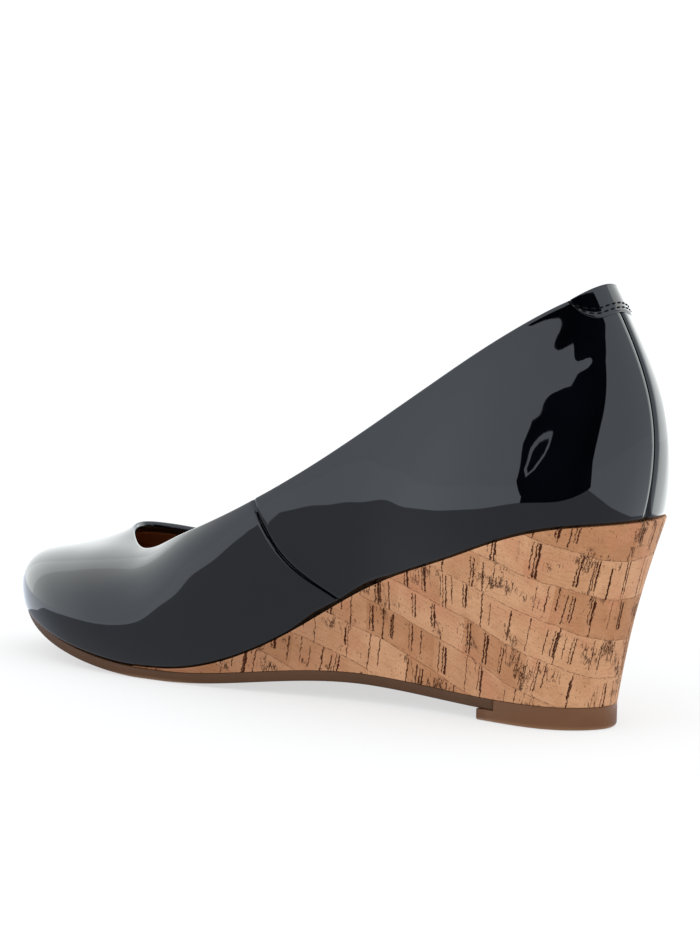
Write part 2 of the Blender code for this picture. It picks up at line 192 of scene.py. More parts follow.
@dataclass(frozen=True)
class Last:
    """The shoe's last and its named sizes, as the solids have them."""

    length: float = 0.232
    wedge_height: float = 0.0520
    back_height: float = 0.0635
    wall: float = 0.0020
    topline_round: float = 0.0007
    sole: float = 0.0031
    heel_step: float = 0.0033
    toe_spring: float = 0.0135
    arch_rise: float = 0.0022
    lift_length: float = 0.0345
    lift_notch: float = 0.0060
    clearance: float = 0.0003
    heel_centre: float = 0.0350
    tread_start: float = 0.680
    tread_end: float = 0.720
    wedge_end: float = 0.720
    spring_power: float = 1.6
    breast_rate: float = 1.6
    level_foot: float = 0.12        # share of the wall over which a depth turns level
    samples: int = 800              # points along a side where a turn is looked up

    @cached_property
    def turns(self) -> Array:
        """Turn of each station: its share of the way round the featherline."""
        foot = np.array([(s.foot[0] * self.length, s.foot[1] * s.width / 2.0) for s in STATIONS])
        steps = np.linalg.norm(np.roll(foot, -1, 0) - foot, axis=1)
        return np.append(0.0, np.cumsum(steps)[:-1]) / steps.sum()

    @cached_property
    def rings(self) -> Spline:
        """The stations' values as one closed spline: three outlines, the topline's height, the swells."""
        rows = []
        for s in STATIONS:
            sizes = (self.length, s.width / 2.0)
            outlines = [share * size for line in (s.foot, s.top, s.base) for share, size in zip(line, sizes)]
            top = s.rise * self.back_height + float(self.last_bottom(np.array(s.foot[0] * self.length)))
            rows.append([*outlines, top, *(share * self.back_height for share in s.swell)])
        return Spline(self.turns, np.array(rows), True)

    @cached_property
    def cork(self) -> Spline:
        """Thickness of the cork along the shoe, as shares."""
        return open_spline(CORK)

    @cached_property
    def seam(self) -> Spline:
        """Turn of the side seam up the wall."""
        return open_spline(SIDE_SEAM)

    @property
    def lift_front(self) -> float:
        """Front of the heel lift."""
        return STATIONS[0].base[0] * self.length + self.lift_length

    def sole_under(self, x: Array) -> Array:
        """Height of the sole's underside: flat at the tread, sprung at the toe, arched at the waist."""
        start, end = self.tread_start * self.length, self.tread_end * self.length
        breast = self.lift_front - self.lift_notch
        past = np.clip((x - end) / (self.length - end), 0.0, None)
        waist = np.clip((start - x) / (start - breast), 0.0, 1.0)
        spring = self.toe_spring * past ** self.spring_power
        step = self.heel_step * ease(waist * self.breast_rate)
        arch = self.arch_rise * np.sin(np.pi * waist) ** 2
        return spring + step + arch

    def cork_height(self, x: Array) -> Array:
        """Thickness of the cork between the sole and the last's bottom."""
        return self.wedge_height * np.clip(self.cork(x / self.length)[..., 0], 0.0, None)

    def last_bottom(self, x: Array) -> Array:
        """Height of the last's bottom, where the upper's lower edge lies."""
        return self.sole_under(x) + self.sole + self.clearance + self.cork_height(x)

    def plan(self, line: Line, turn: Array) -> tuple[Array, Array]:
        """Point and outward direction of one outline at any turns."""
        here = self.rings(turn)[..., line.value]
        along = self.rings(turn + EPSILON)[..., line.value] - self.rings(turn - EPSILON)[..., line.value]
        return here, unit(np.stack([-along[..., 1], along[..., 0]], -1))

    def skin(self, turn: Array, height: Array) -> Array:
        """Outer face of the upper, at a turn round the foot and a share of the way up the wall."""
        turn, height = np.broadcast_arrays(np.asarray(turn, float), np.asarray(height, float))
        values = self.rings(turn)
        foot, foot_out = self.plan(Line.FOOT, turn)
        top, top_out = self.plan(Line.TOP, turn)
        out, up, spread, drop = (values[..., i, None] for i in SWELLS)
        first = np.concatenate([foot, self.last_bottom(foot[..., :1])], -1)
        last = np.concatenate([top, values[..., TOP_HEIGHT]], -1)
        second = first + np.concatenate([foot_out * out, up], -1)
        third = last + np.concatenate([top_out * spread, -drop], -1)
        t = height[..., None]
        s = 1.0 - t
        return first * s ** 3 + 3.0 * second * s * s * t + 3.0 * third * s * t * t + last * t ** 3

    def slopes(self, turn: Array, height: Array) -> tuple[Array, Array]:
        """How the skin moves for a whole turn and for the whole height, at each place."""
        span = 2.0 * EPSILON
        round_foot = (self.skin(turn + EPSILON, height) - self.skin(turn - EPSILON, height)) / span
        up_wall = (self.skin(turn, height + EPSILON) - self.skin(turn, height - EPSILON)) / span
        return round_foot, up_wall

    def wall_point(self, turn: Array, height: Array, depth: Array) -> Array:
        """Point at a depth under the outer face; near the featherline the depth is taken level."""
        turn, height, depth = np.broadcast_arrays(*(np.asarray(a, float) for a in (turn, height, depth)))
        round_foot, up_wall = self.slopes(turn, height)
        normal = unit(np.cross(up_wall, round_foot))
        normal[..., 2] *= ease(height / self.level_foot)
        return self.skin(turn, height) - unit(normal) * depth[..., None]

    def turn_at(self, line: Line, x: float, side: Side) -> float:
        """Turn where an outline crosses x on one side of the foot."""
        tip = self.turns[[s.name for s in STATIONS].index("tip")]
        turns = np.linspace(side.value, tip, self.samples)
        return float(np.interp(x, self.plan(line, turns)[0][:, 0], turns))

    def heel_ring(self, line: Line, stops: list[float], half: int) -> Array:
        """Turns round the back of the foot between two cuts.

        Args:
            line: the outline to run on.
            stops: x places of the first rungs, from the cut; from the last one they run evenly to the back.
            half: rungs from the last stop to the back.

        Returns:
            Turns from the outer cut round the back to the inner cut, with the back in the middle.
        """
        outer = [self.turn_at(line, x, Side.OUTER) for x in stops]
        inner = [self.turn_at(line, x, Side.INNER) for x in stops]
        return np.concatenate([outer[:-1], np.linspace(outer[-1], 1.0, half),
                               np.linspace(0.0, inner[-1], half)[1:], inner[-2::-1]])


LAST = Last()


@dataclass(frozen=True)
class Stain:
    """Where a pattern begins to stain, where it stains fully and how strongly."""

    start: float
    full: float
    strength: float = 1.0


class Value:
    """A shader socket that adds Math nodes where it is used in an expression."""

    def __init__(self, shader: "Shader", socket: bpy.types.NodeSocket) -> None:
        """Wraps one output socket of a shader's tree."""
        self.shader, self.socket = shader, socket

    def math(self, operation: str, *others: "Value | float") -> "Value":
        """One Math node on this value and the others."""
        return self.shader.value("ShaderNodeMath", {"operation": operation}, dict(enumerate((self, *others))))

    def __add__(self, other: "Value | float") -> "Value":
        """This plus other."""
        return self.math("ADD", other)

    __radd__ = __add__

    def __sub__(self, other: "Value | float") -> "Value":
        """This less other."""
        return self.math("SUBTRACT", other)

    def __rsub__(self, other: float) -> "Value":
        """Other less this."""
        return self.shader.value("ShaderNodeMath", {"operation": "SUBTRACT"}, {0: other, 1: self})

    def __mul__(self, other: "Value | float") -> "Value":
        """This times other."""
        return self.math("MULTIPLY", other)

    __rmul__ = __mul__

    def __truediv__(self, other: "Value | float") -> "Value":
        """This over other."""
        return self.math("DIVIDE", other)

    def __abs__(self) -> "Value":
        """Its size without its sign."""
        return self.math("ABSOLUTE")

    def floor(self) -> "Value":
        """The whole number under it."""
        return self.math("FLOOR")

    def fraction(self) -> "Value":
        """What is left over its floor."""
        return self.math("FRACT")

    def most(self, other: "Value | float") -> "Value":
        """The larger of the two."""
        return self.math("MAXIMUM", other)

    def step(self, low: "Value | float", high: "Value | float") -> "Value":
        """Soft step from 0 at low to 1 at high, which may be below low."""
        return self.shader.value("ShaderNodeMapRange", {"interpolation_type": "SMOOTHSTEP"},
                                 {"Value": self, "From Min": low, "From Max": high})

    def stain(self, stain: Stain) -> "Value":
        """How much of a stain lies where a pattern has this value."""
        return self.step(stain.start, stain.full) * stain.strength


class Shader:
    """A material with one Principled BSDF, and short ways to add nodes to it."""

    def __init__(self, name: str) -> None:
        """Makes a new material of that name."""
        self.material = bpy.data.materials.new(name)
        self.material.use_nodes = True
        self.tree = self.material.node_tree
        self.surface = self.tree.nodes["Principled BSDF"]

    def node(self, kind: str, settings: dict | None = None, inputs: dict | None = None) -> bpy.types.Node:
        """Adds a node.

        Args:
            kind: the node's type.
            settings: its properties, set first.
            inputs: values or links, by socket name or number.

        Returns:
            The node.
        """
        node = self.tree.nodes.new(kind)
        for key, value in (settings or {}).items():
            setattr(node, key, value)
        for key, value in (inputs or {}).items():
            socket = node.inputs[key]
            if isinstance(value, Value):
                self.tree.links.new(value.socket, socket)
            elif isinstance(value, tuple) and socket.type == "RGBA":
                socket.default_value = (*value, 1.0)
            else:
                socket.default_value = value
        return node

    def value(self, kind: str, settings: dict | None = None, inputs: dict | None = None,
              output: str | int = 0) -> Value:
        """Adds a node and gives one of its outputs."""
        return Value(self, self.node(kind, settings, inputs).outputs[output])

    def place(self) -> Value:
        """The piece's own object coordinates."""
        return self.value("ShaderNodeTexCoord", output="Object")

    def vector(self, x: Value | float, y: Value | float, z: Value | float) -> Value:
        """A vector of three values."""
        return self.value("ShaderNodeCombineXYZ", inputs={0: x, 1: y, 2: z})

    def split(self, kind: str, vector: Value) -> tuple[Value, ...]:
        """The three values of a vector or a colour, by the node of that kind."""
        return tuple(Value(self, output) for output in self.node(kind, inputs={0: vector}).outputs)

    def chance(self, number: Value) -> Value:
        """A random value from 0 to 1 for each number."""
        return self.value("ShaderNodeTexWhiteNoise", {"noise_dimensions": "1D"}, {"W": number})

    def noise(self, vector: Value, scale: float, detail: float = 2.0, roughness: float = 0.5) -> Value:
        """Noise from 0 to 1 with about one bump in 1 / scale metres."""
        inputs = {"Vector": vector, "Scale": scale, "Detail": detail, "Roughness": roughness}
        return self.value("ShaderNodeTexNoise", inputs=inputs)

    def mix(self, share: Value | float, first: Value | Rgb, second: Value | Rgb) -> Value:
        """Colour between two others."""
        node = self.node("ShaderNodeMix", {"data_type": "RGBA"}, {0: share, 6: first, 7: second})
        return Value(self, node.outputs[2])

    def bump(self, height: Value, distance: float, under: Value | None = None) -> Value:
        """Normal of a relief of that height in metres, over another normal if one is given."""
        inputs = {"Height": height, "Distance": distance, "Strength": 1.0}
        if under is not None:
            inputs["Normal"] = under
        return self.value("ShaderNodeBump", inputs=inputs)

    def finish(self, constants: dict, varying: dict) -> bpy.types.Material:
        """Sets the surface.

        Args:
            constants: numbers and colours that are the same all over, set on the shader's own sockets.
            varying: links for what changes over the surface.

        Returns:
            The material.
        """
        for key, value in constants.items():
            socket = self.surface.inputs[key]
            socket.default_value = (*value, 1.0) if isinstance(value, tuple) else value
        for key, value in varying.items():
            self.tree.links.new(value.socket, self.surface.inputs[key])
        return self.material


@dataclass(frozen=True)
class PatentLeather:
    """Near black navy leather under a thick clear coat that ripples a little."""

    dark: Rgb = (0.0007, 0.0008, 0.0013)
    light: Rgb = (0.0013, 0.0015, 0.0024)
    ripple_size: float = 0.011
    ripple_height: float = 0.00005
    grain_size: float = 0.0011
    grain_height: float = 0.0000016
    coat_roughness: float = 0.03
    coat_ior: float = 1.48
    smudge_scale: float = 45.0
    smudge: Stain = Stain(0.35, 0.75)
    roughness: float = 0.34
    smudge_roughness: float = 0.12

    def make(self) -> bpy.types.Material:
        """The material."""
        shader = Shader("navy_patent")
        place = shader.place()
        ripple = shader.noise(place, 1.0 / self.ripple_size, detail=1.0, roughness=0.4)
        grain = shader.noise(place, 1.0 / self.grain_size)
        relief = shader.bump(grain, self.grain_height, shader.bump(ripple, self.ripple_height))
        smudge = shader.noise(place, self.smudge_scale, detail=3.0).stain(self.smudge)
        return shader.finish(
            {"Specular IOR Level": 0.0, "Coat Roughness": self.coat_roughness, "Coat IOR": self.coat_ior,
             "Coat Weight": 1.0},
            {"Base Color": shader.mix(smudge, self.dark, self.light),
             "Roughness": smudge * self.smudge_roughness + self.roughness, "Normal": relief})


@dataclass(frozen=True)
class LiningLeather:
    """Tan lining leather with a soft pebble and faint worn patches."""

    name: str = "tan_lining"
    pale: Rgb = (0.25, 0.100, 0.038)
    deep: Rgb = (0.16, 0.060, 0.022)
    pebble_size: float = 0.0008
    pebble_height: float = 0.00006
    patch_scale: float = 60.0
    patch: Stain = Stain(0.3, 0.75)
    pore_scale: float = 1500.0
    pore: Stain = Stain(0.55, 0.75, 0.35)
    roughness: float = 0.55
    patch_roughness: float = 0.12

    def make(self) -> bpy.types.Material:
        """The material."""
        shader = Shader(self.name)
        place = shader.place()
        pebble = shader.value("ShaderNodeTexVoronoi", {"feature": "SMOOTH_F1"},
                              {"Vector": place, "Scale": 1.0 / self.pebble_size}, "Distance")
        patches = shader.noise(place, self.patch_scale, detail=4.0).stain(self.patch)
        pores = shader.noise(place, self.pore_scale).stain(self.pore)
        colour = shader.mix(pores, shader.mix(patches, self.deep, self.pale), self.deep)
        return shader.finish(
            {"Specular IOR Level": 0.12},
            {"Base Color": colour, "Roughness": patches * self.patch_roughness + self.roughness,
             "Normal": shader.bump(pebble, self.pebble_height)})


@dataclass(frozen=True)
class FissureSet:
    """One set of the cork's straight fissures, with sizes in metres."""

    spacing: float                  # between fissures on the average
    width: float                    # across a broad one
    share: float                    # how many of the places hold one
    seed: float                     # which of many like patterns
    strength: float = 1.0
    beside: float = 0.0             # step along the course from the set of the same seed
    ragged: float = 1.0             # how far its edges are frayed, against the others


@dataclass(frozen=True)
class PoreLoops:
    """Thin ragged loops, tall and narrow, round the pores of the bark."""

    size: tuple[float, float]       # width and height of a loop
    line: float                     # share of the noise's range that a line covers
    crowd: Stain                    # where the loops stand together
    slice_step: float = 0.0         # step to a slice of the noise of its own


@dataclass(frozen=True)
class CorkSheet:
    """Cork veneer in courses, crossed by dark ragged fissures, drawn on the wall's own map of metres.

    Scales count bumps in a metre. Shares are of a course, of a fissure's cell or of the noise's range.
    """

    warm: Rgb = (0.350, 0.155, 0.068)
    pale: Rgb = (0.530, 0.282, 0.148)
    rosy: Rgb = (0.440, 0.182, 0.092)
    # dark brown of the dashes, grain and clumps, also used for the painted shade toward the front
    smoke_and_shade: Rgb = (0.170, 0.064, 0.026)
    bark: Rgb = (0.042, 0.008, 0.001)
    course: float = 0.0112          # height of a course
    block: float = 0.024            # length of one cork block in a course
    relief: float = 0.00030
    wander: float = 0.0030          # how far a course's edge strays
    wander_scale: float = 60.0
    row_seed: float = 5.0
    slice_steps: tuple[float, float] = (3.7, 11.0)      # by which the courses take slices of the noise
    block_shift: float = 9.0        # most blocks by which a course is shifted
    fissure_shift: float = 7.0      # most fissures by which a course is shifted
    fissure_sets: tuple[FissureSet, ...] = (
        FissureSet(0.0066, 0.00090, 0.50, 3.0),
        FissureSet(0.0034, 0.00052, 0.46, 11.0, strength=0.95),
        FissureSet(0.0066, 0.00050, 0.42, 3.0, beside=0.0010, ragged=1.3),
    )
    share_soft: float = 0.02        # softness of the choice whether a place holds a fissure
    short: float = 0.45             # most by which a fissure's end stays inside its course
    overlap: tuple[float, float] = (0.10, 0.05)         # most by which its ends run over the course
    end_soft: tuple[float, float] = (0.04, 0.05)
    middle: float = 0.5             # share of a cell's width that fissures stand in
    slimmest: float = 0.35          # width of the slimmest against the broadest
    core: float = 0.65              # share of a fissure's width that is wholly dark
    fray: float = 0.0017            # ragged edges
    fray_scale: float = 1100.0
    fray_stretch: float = 0.8
    sway: float = 0.0006            # slow bends
    sway_scale: float = 260.0
    clump_scale: float = 85.0
    loops: tuple[PoreLoops, ...] = (
        PoreLoops((0.0028, 0.0110), 0.016, Stain(0.55, 0.60)),
        PoreLoops((0.0012, 0.0021), 0.028, Stain(0.64, 0.68, 0.85), 31.0),
    )
    line_core: float = 0.35         # share of a loop's line that is wholly dark
    joint: Stain = Stain(0.478, 0.494)                  # courses from a course's middle
    joint_faint: float = 0.03       # how dark a joint is where it is broken
    joint_length: float = 0.0016    # length of an unbroken piece of a joint
    joint_step: float = 5.0
    joint_piece: Stain = Stain(0.44, 0.56, 0.42)
    fleck_size: tuple[float, float] = (0.0006, 0.0013)
    fleck: Stain = Stain(0.68, 0.74, 0.5)
    dash_size: tuple[float, float] = (0.0050, 0.00042)
    dash: Stain = Stain(0.50, 0.72, 0.30)
    grain_scale: float = 1500.0
    grain: Stain = Stain(0.45, 0.80, 0.38)
    tint_scale: float = 140.0
    tint_seed: float = 2.0
    tint_shares: tuple[float, float] = (0.40, 0.6)      # of a block's own tint and of the slow one
    tint: Stain = Stain(0.15, 0.85)
    rosy_scale: float = 75.0
    rosy_patch: Stain = Stain(0.50, 0.72, 0.6)
    clump: Stain = Stain(0.64, 0.74, 0.45)
    painted_front_shade: Stain = Stain(0.070, 0.125, 0.45)       # painted shade, darker toward the front of the wedge under the upper; metres along the wall from the back
    fine_relief: float = 0.15       # relief of grain and dashes against that of the fissures
    line_roughness: float = 0.15
    roughness: float = 0.70

    def fissures(self, shader: Shader, along: Value, courses: Value, push: Value, kind: FissureSet) -> Value:
        """One set of straight fissures, no longer than a course.

        Args:
            shader: the material's shader.
            along: metres along the courses.
            courses: courses counted from the floor.
            push: metres by which each spot's edge is pushed aside.
            kind: the set.

        Returns:
            1 in a fissure and 0 beside it.
        """
        row = courses.floor()
        cells = (along - kind.beside) / kind.spacing + shader.chance(row + kind.seed) * self.fissure_shift
        chance = shader.node("ShaderNodeTexWhiteNoise", {"noise_dimensions": "3D"},
                             {"Vector": shader.vector(row, cells.floor(), kind.seed)})
        where, reach, broad = shader.split("ShaderNodeSeparateColor", Value(shader, chance.outputs["Color"]))
        present = Value(shader, chance.outputs["Value"]).step(kind.share, kind.share - self.share_soft)
        up = courses.fraction()
        lower = reach * self.short - self.overlap[0]
        upper = (1.0 + self.overlap[1]) - where * self.short
        span = up.step(lower, lower + self.end_soft[0]) * up.step(upper, upper - self.end_soft[1])
        centre = where * self.middle + (1.0 - self.middle) / 2.0
        off = abs((cells.fraction() - centre) * kind.spacing + push * kind.ragged)
        half = (broad * (1.0 - self.slimmest) + self.slimmest) * kind.width * 0.5
        return off.step(half, half * self.core) * span * present

    def outlines(self, shader: Shader, along: Value, across: Value, layer: Value, kind: PoreLoops) -> Value:
        """Outlines of pores.

        Args:
            shader: the material's shader.
            along: metres along the courses.
            across: metres across them.
            layer: which slice of the noise, so that each course has its own.
            kind: the loops.

        Returns:
            1 on a line and 0 beside it.
        """
        layer = layer + kind.slice_step
        loops = self.specks(shader, along, across, layer, kind.size, detail=5.0, roughness=0.68)
        return abs(loops - 0.5).step(kind.line, kind.line * self.line_core)

    def specks(self, shader: Shader, along: Value, across: Value, layer: Value, size: tuple[float, float],
               detail: float, roughness: float = 0.5) -> Value:
        """Noise whose specks have that width and height, in a slice of its own for each course."""
        place = shader.vector(along / size[0], across / size[1], layer)
        return shader.noise(place, 1.0, detail, roughness)

    def make(self) -> bpy.types.Material:
        """The material."""
        shader = Shader("cork_sheet")
        wall = shader.value("ShaderNodeUVMap", {"uv_map": "wall"})
        along, across = shader.split("ShaderNodeSeparateXYZ", wall)[:2]
        bend = shader.noise(wall, self.wander_scale, detail=3.0)
        courses = (across + (bend - 0.5) * self.wander) / self.course
        row = courses.floor()
        shift = shader.chance(row + self.row_seed)
        layer = row * self.slice_steps[0] + shift * self.slice_steps[1]
        ragged = shader.noise(shader.vector(along, across * self.fray_stretch, layer), self.fray_scale,
                              detail=4.0, roughness=0.7)
        slow = shader.noise(shader.vector(along, across, layer), self.sway_scale, detail=1.0)
        push = (ragged - 0.5) * self.fray + (slow - 0.5) * self.sway
        clumps = shader.noise(wall, self.clump_scale)
        flecks = self.specks(shader, along, across, layer, self.fleck_size, detail=2.0)
        dashes = self.specks(shader, along, across, layer, self.dash_size, detail=3.0, roughness=0.6)
        grain = shader.noise(wall, self.grain_scale, detail=3.0, roughness=0.6)
        whole = shader.noise(shader.vector(along / self.joint_length, row * self.joint_step, 0.0), 1.0,
                             detail=3.0, roughness=0.6)
        strength = whole.stain(self.joint_piece) + self.joint_faint
        lines = abs(courses.fraction() - 0.5).stain(self.joint) * strength
        for kind in self.fissure_sets:
            lines = lines.most(self.fissures(shader, along, courses, push, kind) * kind.strength)
        for kind in self.loops:
            lines = lines.most(self.outlines(shader, along, across, layer, kind) * clumps.stain(kind.crowd))
        lines = lines.most(flecks.stain(self.fleck))
        blocks = along / self.block + shift * self.block_shift
        own = shader.value("ShaderNodeTexWhiteNoise", {"noise_dimensions": "3D"},
                           {"Vector": shader.vector(row, blocks.floor(), self.tint_seed)})
        slow_tint = shader.noise(wall, self.tint_scale, detail=3.0)
        tinted = own * self.tint_shares[0] + slow_tint * self.tint_shares[1]
        ground = shader.mix(tinted.stain(self.tint), self.warm, self.pale)
        rosy = shader.noise(wall, self.rosy_scale, detail=3.0)
        # the mix by distance along the wall is painted shade, darker toward the front of the wedge
        for share, colour in ((rosy.stain(self.rosy_patch), self.rosy), (dashes.stain(self.dash), self.smoke_and_shade),
                              (grain.stain(self.grain), self.smoke_and_shade), (clumps.stain(self.clump), self.smoke_and_shade),
                              (abs(along).stain(self.painted_front_shade), self.smoke_and_shade), (lines, self.bark)):
            ground = shader.mix(share, ground, colour)
        height = 1.0 - lines + (grain - 0.5) * self.fine_relief - dashes * self.fine_relief
        return shader.finish(
            {"Specular IOR Level": 0.05},
            {"Base Color": ground, "Roughness": lines * self.line_roughness + self.roughness,
             "Normal": shader.bump(height, self.relief)})


@dataclass(frozen=True)
class SoleRubber:
    """Tan sole rubber with a satin side, painted light that makes the lower edge paler, and faint mould
    specks.
    """

    name: str
    side: Rgb
    # edge is the colour of the painted light along the lower edge
    edge: Rgb
    painted_edge_light: Stain = Stain(0.0014, 0.0, 0.7)     # painted light: paler toward the floor; heights over the floor
    darker: float = 0.72
    cloud_scale: float = 55.0
    cloud: Stain = Stain(0.3, 0.8, 0.5)
    speck_scale: float = 1400.0
    speck: Stain = Stain(0.6, 0.8, 0.25)
    speck_height: float = 0.00003
    roughness: float = 0.38
    cloud_roughness: float = 0.2

    def make(self) -> bpy.types.Material:
        """The material."""
        shader = Shader(self.name)
        place = shader.place()
        height = shader.split("ShaderNodeSeparateXYZ", place)[2]
        cloud = shader.noise(place, self.cloud_scale, detail=4.0)
        speck = shader.noise(place, self.speck_scale)
        darker = tuple(self.darker * c for c in self.side)
        colour = self.side
        # painted light: paler within the lowest millimetres over the floor
        for share, other in ((cloud.stain(self.cloud), darker), (height.stain(self.painted_edge_light), self.edge),
                             (speck.stain(self.speck), darker)):
            colour = shader.mix(share, colour, other)
        return shader.finish(
            {"Specular IOR Level": 0.12},
            {"Base Color": colour, "Roughness": cloud * self.cloud_roughness + self.roughness,
             "Normal": shader.bump(speck, self.speck_height)})


@dataclass(frozen=True)
class Thread:
    """Twisted black sewing thread."""

    colour: Rgb = (0.002, 0.002, 0.002)
    twist_scale: float = 2600.0
    twist_height: float = 0.00003
    roughness: float = 0.65
    twist_roughness: float = 0.2

    def make(self) -> bpy.types.Material:
        """The material."""
        shader = Shader("black_thread")
        wave = {"Vector": shader.place(), "Scale": self.twist_scale, "Distortion": 1.0}
        twist = shader.value("ShaderNodeTexWave", inputs=wave, output="Fac")
        return shader.finish({"Specular IOR Level": 0.08, "Base Color": self.colour},
                             {"Roughness": twist * self.twist_roughness + self.roughness,
                              "Normal": shader.bump(twist, self.twist_height)})


@dataclass(frozen=True)
class Finishes:
    """Every finish of the shoe, made once."""

    patent: bpy.types.Material
    lining: bpy.types.Material
    sock: bpy.types.Material
    cork: bpy.types.Material
    sole: bpy.types.Material
    lift: bpy.types.Material
    thread: bpy.types.Material


def make_finishes() -> Finishes:
    """Makes the shoe's materials."""
    return Finishes(
        patent=PatentLeather().make(),
        lining=LiningLeather().make(),
        sock=LiningLeather("tan_sock", (0.36, 0.175, 0.082), (0.27, 0.125, 0.058), 0.0011, 0.00008).make(),
        cork=CorkSheet().make(),
        # each rubber's second colour is its painted light along the lower edge
        sole=SoleRubber("sole_rubber", (0.074, 0.033, 0.014), (0.17, 0.088, 0.042)).make(),
        lift=SoleRubber("lift_rubber", (0.135, 0.058, 0.025), (0.22, 0.110, 0.052)).make(),
        thread=Thread().make(),
    )


def band_faces(rings: int, columns: int, wrap_rings: bool, wrap_columns: bool) -> Array:
    """Quads between neighbouring rings of columns points, wound to face out.

    Args:
        rings: how many rings the points hold, lowest first.
        columns: points in a ring, running from the back along the inner side.
        wrap_rings: whether the last ring joins the first.
        wrap_columns: whether the last column joins the first.

    Returns:
        One row of four point numbers for each quad.
    """
    ring = np.arange(rings if wrap_rings else rings - 1)[:, None]
    column = np.arange(columns if wrap_columns else columns - 1)[None, :]
    here, above = ring * columns, (ring + 1) % rings * columns
    beside = (column + 1) % columns
    corners = (here + column, above + column, above + beside, here + beside)
    return np.stack(corners, -1).reshape(-1, 4)


def ladder_faces(first: int, columns: int, tail_open: bool, upward: bool) -> list[list[int]]:
    """Cap of a ring as rungs between its two sides.

    Args:
        first: number of the ring's first point.
        columns: points in the ring.
        tail_open: whether the ring ends in a straight cut instead of a point.
        upward: whether the cap faces up.

    Returns:
        Point numbers of each face.
    """
    middle = (columns - 1) // 2 if tail_open else columns // 2
    faces = []
    for rung in range(middle if tail_open else middle - 1):
        near = [first + middle - rung, first + middle + rung]
        far = [first + middle - rung - 1, first + middle + rung + 1]
        faces.append([near[0], *far] if rung == 0 else [near[0], *far, near[1]])
    if not tail_open:
        faces.append([first, first + columns - 1, first + 1])
    return faces if upward else [face[::-1] for face in faces]


def capped_faces(rings: int, columns: int, tail_open: bool) -> list[list[int]]:
    """Faces of a closed block of level rings: its wall, its underside and its top."""
    faces = band_faces(rings, columns, False, True).tolist()
    faces += ladder_faces(0, columns, tail_open, False)
    return faces + ladder_faces((rings - 1) * columns, columns, tail_open, True)


def level_ring(outline: Array, height: Array | float) -> Array:
    """Points of an outline seen from above at one height, or at one for each point."""
    return np.concatenate([outline, np.broadcast_to(height, (len(outline), 1))], 1)


def eased_edge(outline: Array, outward: Array, rounding: float) -> list[tuple[Array, float]]:
    """Outlines of a rounded lower edge from the tread to the wall, each with its height over the tread."""
    return [(outline - outward * rounding * (1.0 - math.sin(angle)), rounding * (1.0 - math.cos(angle)))
            for angle in np.linspace(0.0, RIGHT_ANGLE, EDGE_RINGS)]


def from_heel_seat(points: Array) -> list[list[float]]:
    """Points of the last's own frame, moved to the shared one."""
    return (points - np.array([LAST.heel_centre, 0.0, 0.0])).tolist()


def add_object(name: str, mesh: bpy.types.Mesh) -> bpy.types.Object:
    """A new object of a mesh, linked to the scene."""
    piece = bpy.data.objects.new(name, mesh)
    bpy.context.collection.objects.link(piece)
    return piece


def make_piece(name: str, points: Array, faces: list[list[int]], finish: bpy.types.Material,
               wall_map: Array | None = None) -> bpy.types.Object:
    """One smooth mesh object in the shared frame.

    Args:
        name: the piece's name.
        points: its points, with x from the back of the heel seat.
        faces: point numbers of each face.
        finish: its material.
        wall_map: two map values for each point, in metres, for a finish that follows the wall.

    Returns:
        The object, linked to the scene.
    """
    mesh = bpy.data.meshes.new(name)
    mesh.from_pydata(from_heel_seat(points), [], faces)
    if wall_map is not None:
        layer = mesh.uv_layers.new(name="wall")
        layer.data.foreach_set("uv", np.concatenate([wall_map[face] for face in faces]).ravel())
    mesh.shade_smooth()
    mesh.materials.append(finish)
    return add_object(name, mesh)


def dress(piece: bpy.types.Object, slot: str, *nodes: str) -> bpy.types.Object:
    """Ties a piece to the shoe's body and hides the imported nodes it stands for."""
    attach(piece, BODY)
    if nodes:
        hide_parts(*nodes)
    log.info("%s: %d faces", piece.name, len(piece.data.polygons))
    return piece


@dataclass(frozen=True)
class Dent:
    """A soft trough in the upper, or a ridge where depth is negative."""

    turn: float
    height: float
    wide: float
    tall: float
    depth: float
    tilt: float = 0.0


